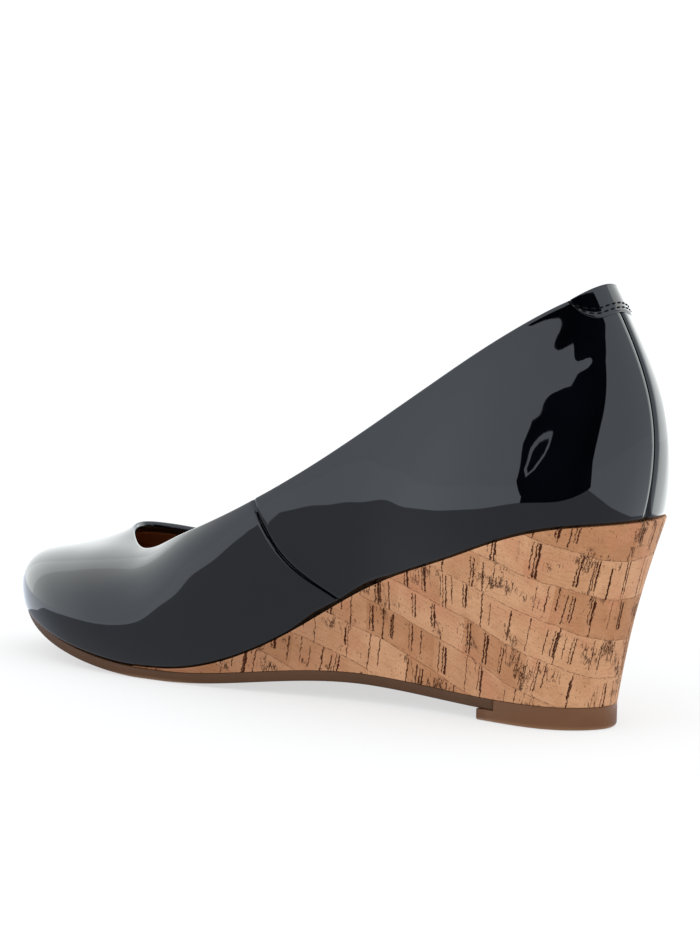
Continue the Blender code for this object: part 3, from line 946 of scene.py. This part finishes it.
@dataclass
class Upper:
    """Vamp and quarters of patent leather, folded over the topline, with their lining."""

    finishes: Finishes
    columns: int = 380
    rows: int = 84
    close_rows: int = 8             # rings near the featherline, below close_height
    close_height: float = 0.06
    seam_clear: float = 0.0085      # turn beside a seam that the even columns leave free
    seam_lean: float = 0.11         # turn over which the columns lean with the side seam
    side_reach: float = 0.0011
    back_reach: float = 0.0018
    side_depth: float = 0.0007
    back_depth: float = 0.0009
    side_gap: tuple[float, float] = (0.00006, 0.00014)              # half gap and its growth up the wall
    back_gap: tuple[float, float, float] = (0.00010, 0.0009, 0.035)     # half gap, more at the foot, its fade
    quarter_proud: float = 0.00014
    quarter_reach: float = 0.0028
    fold: float = 0.0034            # patent turned down inside the topline
    fold_proud: float = 0.00012
    fold_edge: float = 0.0002       # rounding of the turned-down edge
    round_rings: int = 7
    fold_rings: int = 5
    hidden_rings: int = 10          # back of the leather, under the lining
    hidden_start: float = 0.9       # share of the wall whose turns its first ring takes
    hidden_top: float = 0.88        # share of the wall where it ends
    lining_columns: int = 240
    lining_rings: int = 30
    lining_gap: float = 0.0003      # between the lining and the turned-down edge
    lining_clear: float = 0.00005   # between the lining and the leather
    leather: float = 0.0012         # patent and stiffener, outside the lining
    least: float = 0.0001           # leather left at the deepest place of the relief
    tuck_height: float = 0.016      # share of the wall that turns in at the featherline
    tuck_depth: float = 0.0011
    tuck_swell: float = 2.6         # how much taller the turned-in edge grows beside the side seam's foot
    tuck_places: tuple[tuple[float, float], ...] = ((0.222, 0.011), (0.188, 0.016))     # turn and reach
    ripples: tuple[tuple[float, ...], ...] = (      # waves round and up, phase, height
        (9, 2.1, 0.4, 0.00006), (14, 3.7, 2.2, 0.00004), (23, 5.3, 4.0, 0.00002))
    offsets: tuple[float, ...] = (                  # columns beside a seam, in millimetres from it
        0.0, 0.04, 0.10, 0.18, 0.30, 0.45, 0.65, 0.90, 1.20, 1.60, 2.20)
    dents: tuple[Dent, ...] = (
        Dent(0.325, 0.90, 0.018, 0.009, -0.00130),
        Dent(0.278, 0.98, 0.036, 0.010, -0.00190),
        Dent(0.320, 0.70, 0.024, 0.011, -0.00110),
        Dent(0.068, 1.03, 0.010, 0.007, 0.00035),
        Dent(0.145, 0.36, 0.030, 0.009, 0.00012),
        Dent(0.047, 0.80, 0.0035, 0.0050, 0.00016, 0.3),
        Dent(0.032, 0.77, 0.0022, 0.0030, 0.00016, 0.6),
        Dent(0.055, 0.66, 0.0040, 0.0045, -0.00016, 0.4),
        Dent(0.050, 0.53, 0.0030, 0.0060, 0.00009, 0.5),
        Dent(0.062, 0.40, 0.0028, 0.0055, 0.00008, 0.5),
        Dent(0.070, 0.30, 0.0040, 0.0040, -0.00006, 0.2),
        Dent(0.300, 0.30, 0.030, 0.014, 0.00010),
        Dent(0.760, 0.40, 0.035, 0.016, 0.00030),
        Dent(0.900, 0.50, 0.020, 0.020, -0.00025, 0.2),
        Dent(0.945, 0.60, 0.006, 0.012, 0.00018, -0.4),
    )

    @cached_property
    def plain_turns(self) -> Array:
        """Turns of the even columns, which keep clear of both seams."""
        turns = np.arange(self.columns) / self.columns
        from_seam = np.minimum(np.abs(turns - self.seam_turn(0.5)), np.minimum(turns, 1.0 - turns))
        return turns[from_seam > self.seam_clear]

    def seam_turn(self, height: float) -> float:
        """Turn of the side seam at a share of the way up the wall."""
        return float(LAST.seam(np.array(height))[0])

    def ring(self, height: float) -> tuple[Array, Array, Array]:
        """Columns of one ring.

        Args:
            height: share of the way up the wall.

        Returns:
            Turns, and each column's distance in metres from the side seam and from the back seam.
        """
        seam, middle = self.seam_turn(height), self.seam_turn(0.5)
        spread = np.array(self.offsets) * MM
        both = np.concatenate([-spread[:0:-1], spread])
        places = np.array([seam, 0.0])
        rates = np.linalg.norm(LAST.slopes(places, np.full(2, height))[0], axis=1)
        lean = ease(1.0 - np.abs(self.plain_turns - middle) / self.seam_lean)
        plain = self.plain_turns + lean * (seam - middle)
        side = seam + both / rates[0]
        back = both / rates[1]
        low = plain[plain < seam]
        high = plain[plain > seam]
        turns = np.concatenate([back[back >= 0.0], low, side, high, 1.0 + back[back < 0.0]])
        from_side = (turns - seam) * rates[0]
        from_back = np.where(turns > 0.5, turns - 1.0, turns) * rates[1]
        return turns, from_side, from_back

    def groove(self, distance: Array, gap: float, depth: float, reach: float) -> Array:
        """Depth of a closed seam whose two lips round down to its line."""
        near = np.clip(1.0 - np.clip(np.abs(distance) - gap, 0.0, None) / reach, 0.0, 1.0)
        return depth * (1.0 - np.sqrt(np.clip(1.0 - near ** 2, 0.0, 1.0)))

    def relief(self, turns: Array, height: float, from_side: Array, from_back: Array) -> Array:
        """How far the outer face lies under the last's skin: seams, tuck, dents and slow ripples."""
        side_gap = self.side_gap[0] + self.side_gap[1] * height
        back_gap = self.back_gap[0] + self.back_gap[1] * math.exp(-height / self.back_gap[2])
        depth = self.groove(from_side, side_gap, self.side_depth, self.side_reach)
        depth = depth + self.groove(from_back, back_gap, self.back_depth, self.back_reach)
        quarter = np.where(from_side < 0.0, np.exp(-(from_side / self.quarter_reach) ** 2), 0.0)
        depth -= self.quarter_proud * quarter * (np.abs(from_side) > 0.0)
        bumps = sum(np.exp(-((turns - place) / wide) ** 2) for place, wide in self.tuck_places)
        swell = 1.0 + self.tuck_swell * bumps
        tuck = np.clip(1.0 - height / (self.tuck_height * swell), 0.0, 1.0)
        depth += self.tuck_depth * swell ** 0.5 * tuck ** 2
        for dent in self.dents:
            slopes = LAST.slopes(np.array(dent.turn), np.array(dent.height))
            rate, rise = (np.linalg.norm(slope) for slope in slopes)
            x = (turns - dent.turn) * rate
            z = (height - dent.height) * rise
            along = (x * math.cos(dent.tilt) + z * math.sin(dent.tilt)) / dent.wide
            up = (z * math.cos(dent.tilt) - x * math.sin(dent.tilt)) / dent.tall
            depth += dent.depth * np.exp(-(along ** 2 + up ** 2))
        for waves, rises, phase, size in self.ripples:
            round_foot = np.sin(2.0 * np.pi * (waves * turns + phase))
            depth += size * round_foot * np.sin(np.pi * rises * height + phase)
        return np.minimum(depth, self.leather - self.least)

    def make_patent(self) -> bpy.types.Object:
        """Outer leather with its seams, rolled topline and turned-down edge."""
        rings = []
        close = 1.0 - np.cos(np.linspace(0.0, RIGHT_ANGLE, self.close_rows + 1)[:-1])
        even = np.linspace(self.close_height, 1.0, self.rows)
        heights = np.concatenate([close * self.close_height, even])
        for height in heights:
            turns, from_side, from_back = self.ring(height)
            rings.append(LAST.wall_point(turns, height, self.relief(turns, height, from_side, from_back)))
        turns, from_side, from_back = self.ring(1.0)
        outer = self.relief(turns, 1.0, from_side, from_back)
        up_rate = LAST.slopes(turns, np.ones_like(turns))[1]
        up = unit(up_rate)
        inner = LAST.wall + self.fold_proud
        for angle in np.linspace(0.0, np.pi, self.round_rings + 2)[1:-1]:
            depth = outer + (inner - outer) * (1.0 - math.cos(angle)) / 2.0
            rings.append(LAST.wall_point(turns, 1.0, depth) + up * LAST.topline_round * math.sin(angle))
        rate = np.linalg.norm(up_rate, axis=-1)
        for share in np.linspace(0.0, 1.0, self.fold_rings):
            rings.append(LAST.wall_point(turns, 1.0 - self.fold * share / rate, inner))
        edge = 1.0 - (self.fold + self.fold_edge) / rate
        rings.append(LAST.wall_point(turns, edge, inner - self.fold_edge))
        rings.append(LAST.wall_point(turns, edge, self.leather))
        for share in np.linspace(self.hidden_start, 0.0, self.hidden_rings):
            turns = self.ring(share)[0]
            rings.append(LAST.wall_point(turns, np.minimum(share, self.hidden_top), self.leather))
        points = np.concatenate(rings)
        faces = band_faces(len(rings), len(turns), True, True).tolist()
        return make_piece("upper_patent", points, faces, self.finishes.patent)

    def make_lining(self) -> bpy.types.Object:
        """Inner leather, up to the turned-down edge."""
        turns = np.arange(self.lining_columns) / self.lining_columns
        rate = np.linalg.norm(LAST.slopes(turns, np.ones_like(turns))[1], axis=-1)
        top = 1.0 - (self.fold + self.lining_gap) / rate
        shares = np.linspace(0.0, 1.0, self.lining_rings)
        rings = [LAST.wall_point(turns, top * share, self.leather + self.lining_clear) for share in shares]
        rings += [LAST.wall_point(turns, top * share, LAST.wall) for share in shares[::-1]]
        faces = band_faces(len(rings), len(turns), True, True).tolist()
        return make_piece("upper_lining", np.concatenate(rings), faces, self.finishes.lining)

    def build(self) -> None:
        """Makes and dresses both leathers."""
        dress(self.make_patent(), "patent", "upper")
        dress(self.make_lining(), "lining", "upper")


@dataclass
class StitchRow:
    """A row of stitches laid along a path by Geometry Nodes."""

    pitch: float = 0.0021
    stitch: float = 0.0016
    thread: float = 0.00055
    segments: int = 8
    rings: int = 6

    def tree(self, finish: bpy.types.Material) -> bpy.types.NodeTree:
        """The node tree, with named inputs for the pitch, the stitch's length and the thread's width."""
        tree = bpy.data.node_groups.new("stitch_row", "GeometryNodeTree")
        tree.interface.new_socket("Geometry", in_out="INPUT", socket_type="NodeSocketGeometry")
        for name in ("Pitch", "Stitch", "Thread"):
            tree.interface.new_socket(name, in_out="INPUT", socket_type="NodeSocketFloat")
        tree.interface.new_socket("Geometry", in_out="OUTPUT", socket_type="NodeSocketGeometry")
        kinds = {"given": "NodeGroupInput", "result": "NodeGroupOutput", "curve": "GeometryNodeMeshToCurve",
                 "spots": "GeometryNodeCurveToPoints", "ball": "GeometryNodeMeshUVSphere",
                 "size": "ShaderNodeCombineXYZ", "copies": "GeometryNodeInstanceOnPoints",
                 "real": "GeometryNodeRealizeInstances", "paint": "GeometryNodeSetMaterial"}
        nodes = {name: tree.nodes.new(kind) for name, kind in kinds.items()}
        nodes["spots"].mode = "LENGTH"
        for name, socket, value in (("ball", "Segments", self.segments), ("ball", "Rings", self.rings),
                                    ("ball", "Radius", 0.5), ("paint", "Material", finish)):
            nodes[name].inputs[socket].default_value = value
        for source, output, target, socket in (
                ("given", "Geometry", "curve", "Mesh"),
                ("curve", "Curve", "spots", "Curve"),
                ("given", "Pitch", "spots", "Length"),
                ("spots", "Points", "copies", "Points"),
                ("spots", "Rotation", "copies", "Rotation"),
                ("ball", "Mesh", "copies", "Instance"),
                ("given", "Thread", "size", "X"),
                ("given", "Thread", "size", "Y"),
                ("given", "Stitch", "size", "Z"),
                ("size", "Vector", "copies", "Scale"),
                ("copies", "Instances", "real", "Geometry"),
                ("real", "Geometry", "paint", "Geometry"),
                ("paint", "Geometry", "result", "Geometry")):
            tree.links.new(nodes[source].outputs[output], nodes[target].inputs[socket])
        return tree

    def sew(self, name: str, path: Array, finish: bpy.types.Material) -> bpy.types.Object:
        """Stitches along a path.

        Args:
            name: the piece's name.
            path: points of the path, with x from the back of the heel seat.
            finish: the thread's material.

        Returns:
            One plain mesh object with every stitch.
        """
        line = bpy.data.meshes.new(name + "_path")
        line.from_pydata(from_heel_seat(path), [(i, i + 1) for i in range(len(path) - 1)], [])
        guide = add_object(name + "_path", line)
        modifier = guide.modifiers.new("stitches", "NODES")
        modifier.node_group = self.tree(finish)
        sizes = {"Pitch": self.pitch, "Stitch": self.stitch, "Thread": self.thread}
        for item in modifier.node_group.interface.items_tree:
            if item.in_out == "INPUT" and item.name in sizes:
                modifier[item.identifier] = sizes[item.name]
        result = guide.evaluated_get(bpy.context.evaluated_depsgraph_get())
        mesh = bpy.data.meshes.new_from_object(result)
        mesh.name = name
        mesh.shade_smooth()
        guide.modifiers.remove(modifier)
        bpy.data.objects.remove(guide)
        return add_object(name, mesh)


@dataclass
class HeelTab:
    """Patent overlay round the top of the back, with a folded lower edge and two rows of stitches."""

    finishes: Finishes
    reach: float = 0.0128
    height: float = 0.0080
    notch: float = 0.0007           # how much shallower the tab is at the back seam
    thickness: float = 0.00036
    proud: float = 0.0011
    straight: float = 0.42          # share of its length with an even height
    taper: tuple[float, float] = (0.93, 1.7)        # how much lower it ends, and how late
    notch_reach: float = 0.3        # share of its length
    top: float = 0.0002             # how far it stands over the topline at its ends
    edge_round: float = 0.0004
    clear: float = 0.00002          # between its folded edge and the quarter
    hidden: float = 0.00012         # depth of its back in the quarter
    rim_rings: int = 4
    search: float = 0.25            # turn on each side of the back in which its ends are looked up
    samples: int = 800              # points along the topline on each side of the back
    stitch_shares: tuple[float, ...] = (0.17, 0.34)
    stitch_proud: float = 0.00005
    columns: int = 97
    rows: int = 26
    bead: float = 0.00012           # how far the folded lower edge stands out
    bead_height: float = 0.0011

    @cached_property
    def turns(self) -> tuple[Array, Array]:
        """Turns of the columns and their signed distances along the topline."""
        reach = np.linspace(-self.reach, self.reach, self.columns)
        turns = np.linspace(-self.search, self.search, 2 * self.samples + 1)
        steps = np.linalg.norm(np.diff(LAST.plan(Line.TOP, turns)[0], axis=0), axis=1)
        along = np.append(0.0, np.cumsum(steps))
        return np.interp(reach, along - along[self.samples], turns), reach

    def lower(self, reach: Array) -> Array:
        """Height of the tab under the topline at each distance from the back seam."""
        share = np.abs(reach) / self.reach
        most, power = self.taper
        taper = np.clip((share - self.straight) / (1.0 - self.straight), 0.0, 1.0) ** power
        return self.height * (1.0 - most * taper) - self.notch * np.exp(-(share / self.notch_reach) ** 2)

    def line(self, share: float, depth: float) -> Array:
        """A line across the tab at a share of its height from its lower edge."""
        turn, reach = self.turns
        rate = np.linalg.norm(LAST.slopes(turn, np.ones_like(turn))[1], axis=-1)
        crest = self.proud * (1.0 - (reach / self.reach) ** 2) + self.top
        down = self.lower(reach) * (1.0 - share) - crest * share
        return LAST.wall_point(turn, 1.0 - down / rate, depth)

    def build(self) -> None:
        """Makes the tab and its stitches."""
        shares = np.linspace(0.0, 1.0, self.rows)
        outer = []
        for share in shares:
            from_edge = share * self.height
            middle = self.bead_height / 2.0
            bead = self.bead * math.exp(-((from_edge - middle) / middle) ** 2)
            rounded = max(1.0 - from_edge / self.edge_round, 0.0)
            edge = self.thickness * math.sqrt(1.0 - rounded ** 2)
            outer.append(self.line(share, -(edge + bead * (1.0 - rounded) + self.clear)))
        rim = [self.line(1.0, -self.thickness * math.cos(angle))
               + np.array([0.0, 0.0, self.edge_round * math.sin(angle)])
               for angle in np.linspace(0.0, RIGHT_ANGLE, self.rim_rings + 1)[1:]]
        inner = [self.line(share, self.hidden) for share in shares[::-1]]
        rings = outer + rim + inner
        columns = self.columns
        faces = band_faces(len(rings), columns, True, False).tolist()
        for first in (0, columns - 1):
            side = [first + ring * columns for ring in range(len(rings))]
            faces.append(side[::-1] if first else side)
        tab = make_piece("heel_tab_patent", np.concatenate(rings), faces, self.finishes.patent)
        dress(tab, "patent", "heel_tab")
        for row, share in enumerate(self.stitch_shares):
            path = self.line(share, -self.thickness - self.stitch_proud)
            dress(StitchRow().sew(f"heel_tab_stitches_{row + 1}", path, self.finishes.thread), "patent")


@dataclass
class Insole:
    """Sock of tan leather over its board, softly crowned, with a rolled edge."""

    finishes: Finishes
    thickness: float = 0.0030
    columns: int = 200
    profile: tuple[tuple[float, float], ...] = (    # metres in from the edge, share of the thickness
        (0.0, 0.0), (0.0, 0.7), (0.0006, 0.93), (0.0018, 1.0), (0.0045, 1.08), (0.0090, 1.18))

    def build(self) -> None:
        """Makes and dresses the sock."""
        turn = (np.arange(self.columns) / self.columns + 0.5) % 1.0
        foot, outward = LAST.plan(Line.FOOT, turn)
        rings = []
        for inset, up in self.profile:
            edge = foot - outward * (LAST.wall + LAST.clearance + inset)
            rings.append(level_ring(edge, LAST.last_bottom(edge[:, :1]) + self.thickness * up))
        points = np.concatenate(rings)
        faces = capped_faces(len(rings), self.columns, False)
        dress(make_piece("insole_sock", points, faces, self.finishes.sock), "lining", "insole")


@dataclass
class Wedge:
    """Wedge covered in cork sheet, hollowed a little between its two edges."""

    finishes: Finishes
    ledge: float = 0.0005
    hollow: float = 0.0012
    hollow_fade: float = 0.35
    edge_round: float = 0.0006
    edge_pull: float = 0.6          # how far the rounded upper edge draws in, against its radius
    sole_gap: float = 0.00005
    upper_gap: float = 0.00010
    rows: int = 20
    half: int = 150
    riser: float = 0.0001
    course_slope: float = 0.42      # rise of the cork's courses toward the toe, along each side
    course_bend: float = 0.022      # distance from the back over which the courses level out
    fissure_lean: float = 0.20      # lean of the fissures' upper ends toward the heel

    def build(self) -> None:
        """Makes and dresses the wedge."""
        end = LAST.wedge_end * LAST.length
        turn = LAST.heel_ring(Line.FOOT, [end, end - self.riser], self.half)
        foot, foot_out = LAST.plan(Line.FOOT, turn)
        base, base_out = LAST.plan(Line.BASE, turn)
        foot = foot + foot_out * self.ledge
        low = LAST.sole_under(base[:, :1]) + LAST.sole + self.sole_gap
        high = LAST.last_bottom(foot[:, :1]) - self.upper_gap
        depth = self.hollow * ease(LAST.cork_height(base[:, :1]) / LAST.wedge_height / self.hollow_fade)
        shares = (1.0 - np.cos(np.linspace(0.0, np.pi, self.rows))) / 2.0
        rings, maps = [], []
        steps = np.linalg.norm(np.diff((foot + base) / 2.0, axis=0), axis=1)
        along = np.append(0.0, np.cumsum(steps))
        from_back = along - along[len(along) // 2]
        away = np.abs(from_back)
        rise = self.course_slope * (np.hypot(away, self.course_bend) - self.course_bend)
        for share in shares:
            up = low + (high - low) * share
            from_edge = np.minimum(high - up, self.edge_round)
            square = self.edge_round ** 2 - (self.edge_round - from_edge) ** 2
            pull = self.edge_round - np.sqrt(np.clip(square, 0.0, None))
            inward = depth * np.sin(np.pi * share) + pull * self.edge_pull
            rings.append(level_ring(base + (foot - base) * share - base_out * inward, up))
            lean = self.fissure_lean * up[:, 0] * np.tanh(from_back / self.course_bend)
            maps.append(np.stack([from_back + lean, up[:, 0] - rise + LAST.length], 1))
        points, wall_map = np.concatenate(rings), np.concatenate(maps)
        faces = capped_faces(len(rings), len(turn), True)
        piece = make_piece("wedge_cork", points, faces, self.finishes.cork, wall_map)
        dress(piece, "cork", "wedge")


@dataclass
class Outsole:
    """Thin sole from the toe to the notch of the lift, with an eased lower edge."""

    finishes: Finishes
    edge_round: float = 0.0008
    columns: int = 280
    upper_edge: tuple[tuple[float, float], ...] = (     # metres in from the edge, share of the thickness
        (0.0, 0.5), (0.0, 0.93), (0.00015, 0.98), (0.0005, 1.0))

    def build(self) -> None:
        """Makes and dresses the sole."""
        end = LAST.lift_front - LAST.lift_notch
        inner, outer = (LAST.turn_at(Line.BASE, end, side) for side in Side)
        turn = np.linspace(inner, outer, self.columns + 1)
        base, outward = LAST.plan(Line.BASE, turn)
        under = LAST.sole_under(base[:, :1])
        rings = [level_ring(eased, LAST.sole_under(eased[:, :1]) + lift)
                 for eased, lift in eased_edge(base, outward, self.edge_round)]
        rings += [level_ring(base - outward * inset, under + LAST.sole * up) for inset, up in self.upper_edge]
        faces = capped_faces(len(rings), len(turn), True)
        piece = make_piece("outsole_rubber", np.concatenate(rings), faces, self.finishes.sole)
        dress(piece, "sole", "outsole")


@dataclass
class HeelLift:
    """Lift under the heel, notched at its front for the end of the sole."""

    finishes: Finishes
    edge_round: float = 0.0008
    half: int = 90
    riser: float = 0.0001
    front_gap: float = 0.00006      # between the notch and the end of the sole
    top_gap: float = 0.00004        # between the notch and the underside of the sole
    upper_edge: tuple[tuple[float, float], ...] = (     # metres in from the edge, share of the height
        (0.0, 0.5), (0.0, 0.94), (0.00015, 0.985), (0.0005, 1.0))

    def build(self) -> None:
        """Makes and dresses the lift."""
        notch = LAST.lift_front - LAST.lift_notch - self.front_gap
        turn = LAST.heel_ring(Line.BASE, [LAST.lift_front, notch, notch - self.riser], self.half)
        base, outward = LAST.plan(Line.BASE, turn)
        in_notch = base[:, :1] > notch - self.riser / 2.0
        high = np.where(in_notch, LAST.heel_step - self.top_gap, LAST.heel_step + LAST.sole)
        rings = [level_ring(eased, lift) for eased, lift in eased_edge(base, outward, self.edge_round)]
        rings += [level_ring(base - outward * inset, high * share) for inset, share in self.upper_edge]
        faces = capped_faces(len(rings), len(turn), True)
        piece = make_piece("heel_lift_rubber", np.concatenate(rings), faces, self.finishes.lift)
        dress(piece, "sole", "heel_lift")


@dataclass(frozen=True)
class Card:
    """A flat panel beside the shoe that shows only in its gloss.

    Its outline is drawn on a plane that stands on one line of the floor: metres along the line, metres up.
    """

    name: str
    start: tuple[float, float]
    end: tuple[float, float]
    outline: tuple[tuple[float, float], ...]
    glow: float
    end_glow: float | None = None


@dataclass(frozen=True)
class Sheet:
    """A flat sheet on the floor that shows only in the shoe's gloss."""

    name: str
    corners: tuple[tuple[float, float], ...]
    level: float
    glow: float


def square(half: float) -> tuple[tuple[float, float], ...]:
    """Corners of a square round the origin, by half its side."""
    return ((-half, -half), (half, -half), (half, half), (-half, half))


def upright(width: float, height: float) -> tuple[tuple[float, float], ...]:
    """Outline of a plain standing card."""
    return ((0.0, 0.0), (0.0, height), (width, height), (width, 0.0))


@dataclass
class Studio:
    """Pale floor, white surroundings, a dark table top, flags and the camera."""

    sky: float = 1.75
    sky_colour: Rgb = (0.90, 0.97, 1.08)
    box_colour: Rgb = (0.96, 1.0, 1.0)
    floor_colour: Rgb = (0.270, 0.257, 0.235)
    floor_glow: float = 0.62
    floor_level: float = -0.0001
    mottle_scale: float = 3.0
    mottle_shade: float = 0.985
    box_limit: float = 1.2          # strength against the sky's above which a glow has the box's colour
    card_lift: float = 0.0005
    sheets: tuple[Sheet, ...] = (
        Sheet("paper", square(FAR), 0.0002, 1.85),
        Sheet("rear_paper",
              ((-1.2, -1.6), (0.5, -1.6), (0.5, -0.14), (-0.10, -0.14), (-0.3, -0.3)), 0.0004, 3.2),
        Sheet("table_top",
              ((-0.10, -0.12), (0.17, -0.12), (0.24, 0.03), (0.31, 0.06), (0.40, 0.17), (0.37, 0.29),
               (-0.34, 0.29), (-0.17, 0.02)), 0.0006, 0.66),
        Sheet("flag_foot",
              ((0.052, 0.464), (-0.377, 0.288), (-0.34, 0.262), (-0.10, 0.262), (0.03, 0.28)), 0.0008, 0.0),
    )
    cards: tuple[Card, ...] = (
        Card("gap_flag", (0.073, 0.463), (-0.374, 0.278),
             ((0.02, 0.0), (-0.036, 0.085), (-0.045, 0.235), (-0.01, 0.285), (0.053, 0.292), (0.15, 0.312),
              (0.20, 0.332), (0.225, 0.365), (0.43, 0.51), (0.75, 0.80), (0.82, 0.84), (0.80, 0.78),
              (0.60, 0.585), (0.475, 0.44), (0.462, 0.33), (0.446, 0.24), (0.449, 0.12), (0.484, 0.0)), 0.0),
        Card("lens_rim", (0.0738, 0.4612), (-0.3732, 0.2762),
             ((0.030, 0.100), (0.000, 0.150), (0.022, 0.215), (0.115, 0.262), (0.098, 0.200), (0.080, 0.140)),
             1.6),
        Card("lens_core", (0.0745, 0.4593), (-0.3725, 0.2743),
             ((0.040, 0.122), (0.022, 0.153), (0.040, 0.205), (0.098, 0.240), (0.085, 0.196), (0.067, 0.145)),
             0.0),
        Card("front_wall", (1.0, 0.80), (1.0, -0.02), upright(0.82, 2.5), 1.75, 2.2),
        Card("front_side", (1.0, -0.02), (1.0, -0.30), upright(0.28, 2.5), 2.7),
        Card("front_end", (1.0, -0.30), (0.7, -1.0), upright(0.76, 2.5), 2.35),
        Card("rear_box", (-0.75, -0.75), (0.5, -1.2), upright(1.33, 1.2), 3.4),
    )
    azimuth: float = 40.0           # degrees behind the shoe's pure left side view
    elevation: float = 8.5
    roll: float = -1.0
    distance: float = 1.6
    target: Point = (0.075, 0.0, 0.045)
    photo: tuple[int, int] = (700, 933)
    focal_pixels: float = 5622.0
    shift_pixels: tuple[float, float] = (13.9, 65.7)
    sensor: float = 36.0            # millimetres
    clip: tuple[float, float] = (0.05, 100.0)

    def panel(self, name: str, corners: list[Point], finish: bpy.types.Material) -> bpy.types.Object:
        """A flat face between corners."""
        mesh = bpy.data.meshes.new(name)
        mesh.from_pydata(corners, [], [tuple(range(len(corners)))])
        mesh.materials.append(finish)
        piece = add_object(name, mesh)
        return piece

    def glow(self, name: str, strength: float, end_strength: float | None = None) -> bpy.types.Material:
        """Material of an even glow, or of one that changes along a card's map."""
        shader = Shader(name)
        dull = {"Base Color": (0.0, 0.0, 0.0), "Specular IOR Level": 0.0, "Roughness": 1.0,
                "Emission Strength": 1.0}
        tint = self.box_colour if strength > self.sky * self.box_limit else self.sky_colour
        first = tuple(strength * c for c in tint)
        if end_strength is None:
            return shader.finish({**dull, "Emission Color": first}, {})
        last = tuple(end_strength * c for c in self.box_colour)
        place = shader.value("ShaderNodeUVMap", {"uv_map": "card"})
        share = shader.split("ShaderNodeSeparateXYZ", place)[0]
        return shader.finish(dull, {"Emission Color": shader.mix(share, first, last)})

    def add_floor(self) -> None:
        """Wide pale floor, which glows a little where it shows through like lit paper."""
        shader = Shader("pale_floor")
        mottle = shader.noise(shader.place(), self.mottle_scale, detail=3.0)
        shade = tuple(self.mottle_shade * c for c in self.floor_colour)
        lit = {"Specular IOR Level": 0.0, "Roughness": 0.9, "Emission Color": (1.0, 1.0, 1.0),
               "Emission Strength": self.floor_glow}
        finish = shader.finish(lit, {"Base Color": shader.mix(mottle, self.floor_colour, shade)})
        self.panel("floor", [(x, y, self.floor_level) for x, y in square(FAR)], finish)

    def only_in_gloss(self, piece: bpy.types.Object) -> None:
        """Hides a panel from all but reflections."""
        piece.visible_camera = piece.visible_diffuse = piece.visible_shadow = False
        piece.visible_transmission = piece.visible_volume_scatter = False

    def add_sheet(self, sheet: Sheet) -> None:
        """A sheet on the floor."""
        corners = [(x, y, sheet.level) for x, y in sheet.corners]
        self.only_in_gloss(self.panel(sheet.name, corners, self.glow(sheet.name, sheet.glow)))

    def add_card(self, card: Card) -> None:
        """A standing card, whose map runs from 0 to 1 along its line."""
        start, end = np.array(card.start), np.array(card.end)
        length = np.linalg.norm(end - start)
        along = (end - start) / length
        corners = [(*(start + along * reach), up + self.card_lift) for reach, up in card.outline]
        piece = self.panel(card.name, corners, self.glow(card.name, card.glow, card.end_glow))
        layer = piece.data.uv_layers.new(name="card")
        layer.data.foreach_set("uv", [v for reach, up in card.outline for v in (reach / length, up)])
        self.only_in_gloss(piece)

    def add_sky(self) -> None:
        """Even pale surroundings."""
        scene = bpy.context.scene
        scene.world = bpy.data.worlds.new("studio")
        scene.world.use_nodes = True
        background = scene.world.node_tree.nodes["Background"]
        background.inputs["Color"].default_value = (*self.sky_colour, 1.0)
        background.inputs["Strength"].default_value = self.sky
        scene.view_settings.view_transform = "Standard"
        scene.view_settings.look = "None"

    def add_camera(self) -> None:
        """Camera at the photograph's angle, which is rolled a little."""
        turn, tilt, roll = (math.radians(a) for a in (self.azimuth, self.elevation, self.roll))
        back = Vector((-math.sin(turn) * math.cos(tilt), math.cos(turn) * math.cos(tilt), math.sin(tilt)))
        right = Vector((-math.cos(turn), -math.sin(turn), 0.0))
        up = back.cross(right)
        across = right * math.cos(roll) - up * math.sin(roll)
        upward = right * math.sin(roll) + up * math.cos(roll)
        data = bpy.data.cameras.new("camera")
        tall = self.photo[1]
        data.sensor_width = self.sensor
        data.lens = self.focal_pixels / tall * data.sensor_width
        data.shift_x, data.shift_y = -self.shift_pixels[0] / tall, self.shift_pixels[1] / tall
        data.clip_start, data.clip_end = self.clip
        camera = bpy.data.objects.new("camera", data)
        axes = Matrix((across, upward, back)).transposed().to_4x4()
        camera.matrix_world = Matrix.Translation(Vector(self.target) + back * self.distance) @ axes
        bpy.context.collection.objects.link(camera)
        bpy.context.scene.camera = camera

    def build(self) -> None:
        """Sets up the studio."""
        self.add_sky()
        self.add_floor()
        for sheet in self.sheets:
            self.add_sheet(sheet)
        for card in self.cards:
            self.add_card(card)
        self.add_camera()


def main() -> None:
    """Builds the studio and the shoe's sub-assemblies in order."""
    logging.basicConfig(level=logging.INFO, format="%(name)s %(message)s")
    Studio().build()
    finishes = make_finishes()
    for kind in (Upper, HeelTab, Insole, Wedge, Outsole, HeelLift):
        kind(finishes).build()
        log.info("built %s", kind.__name__)


if __name__ == "__main__":
    main()
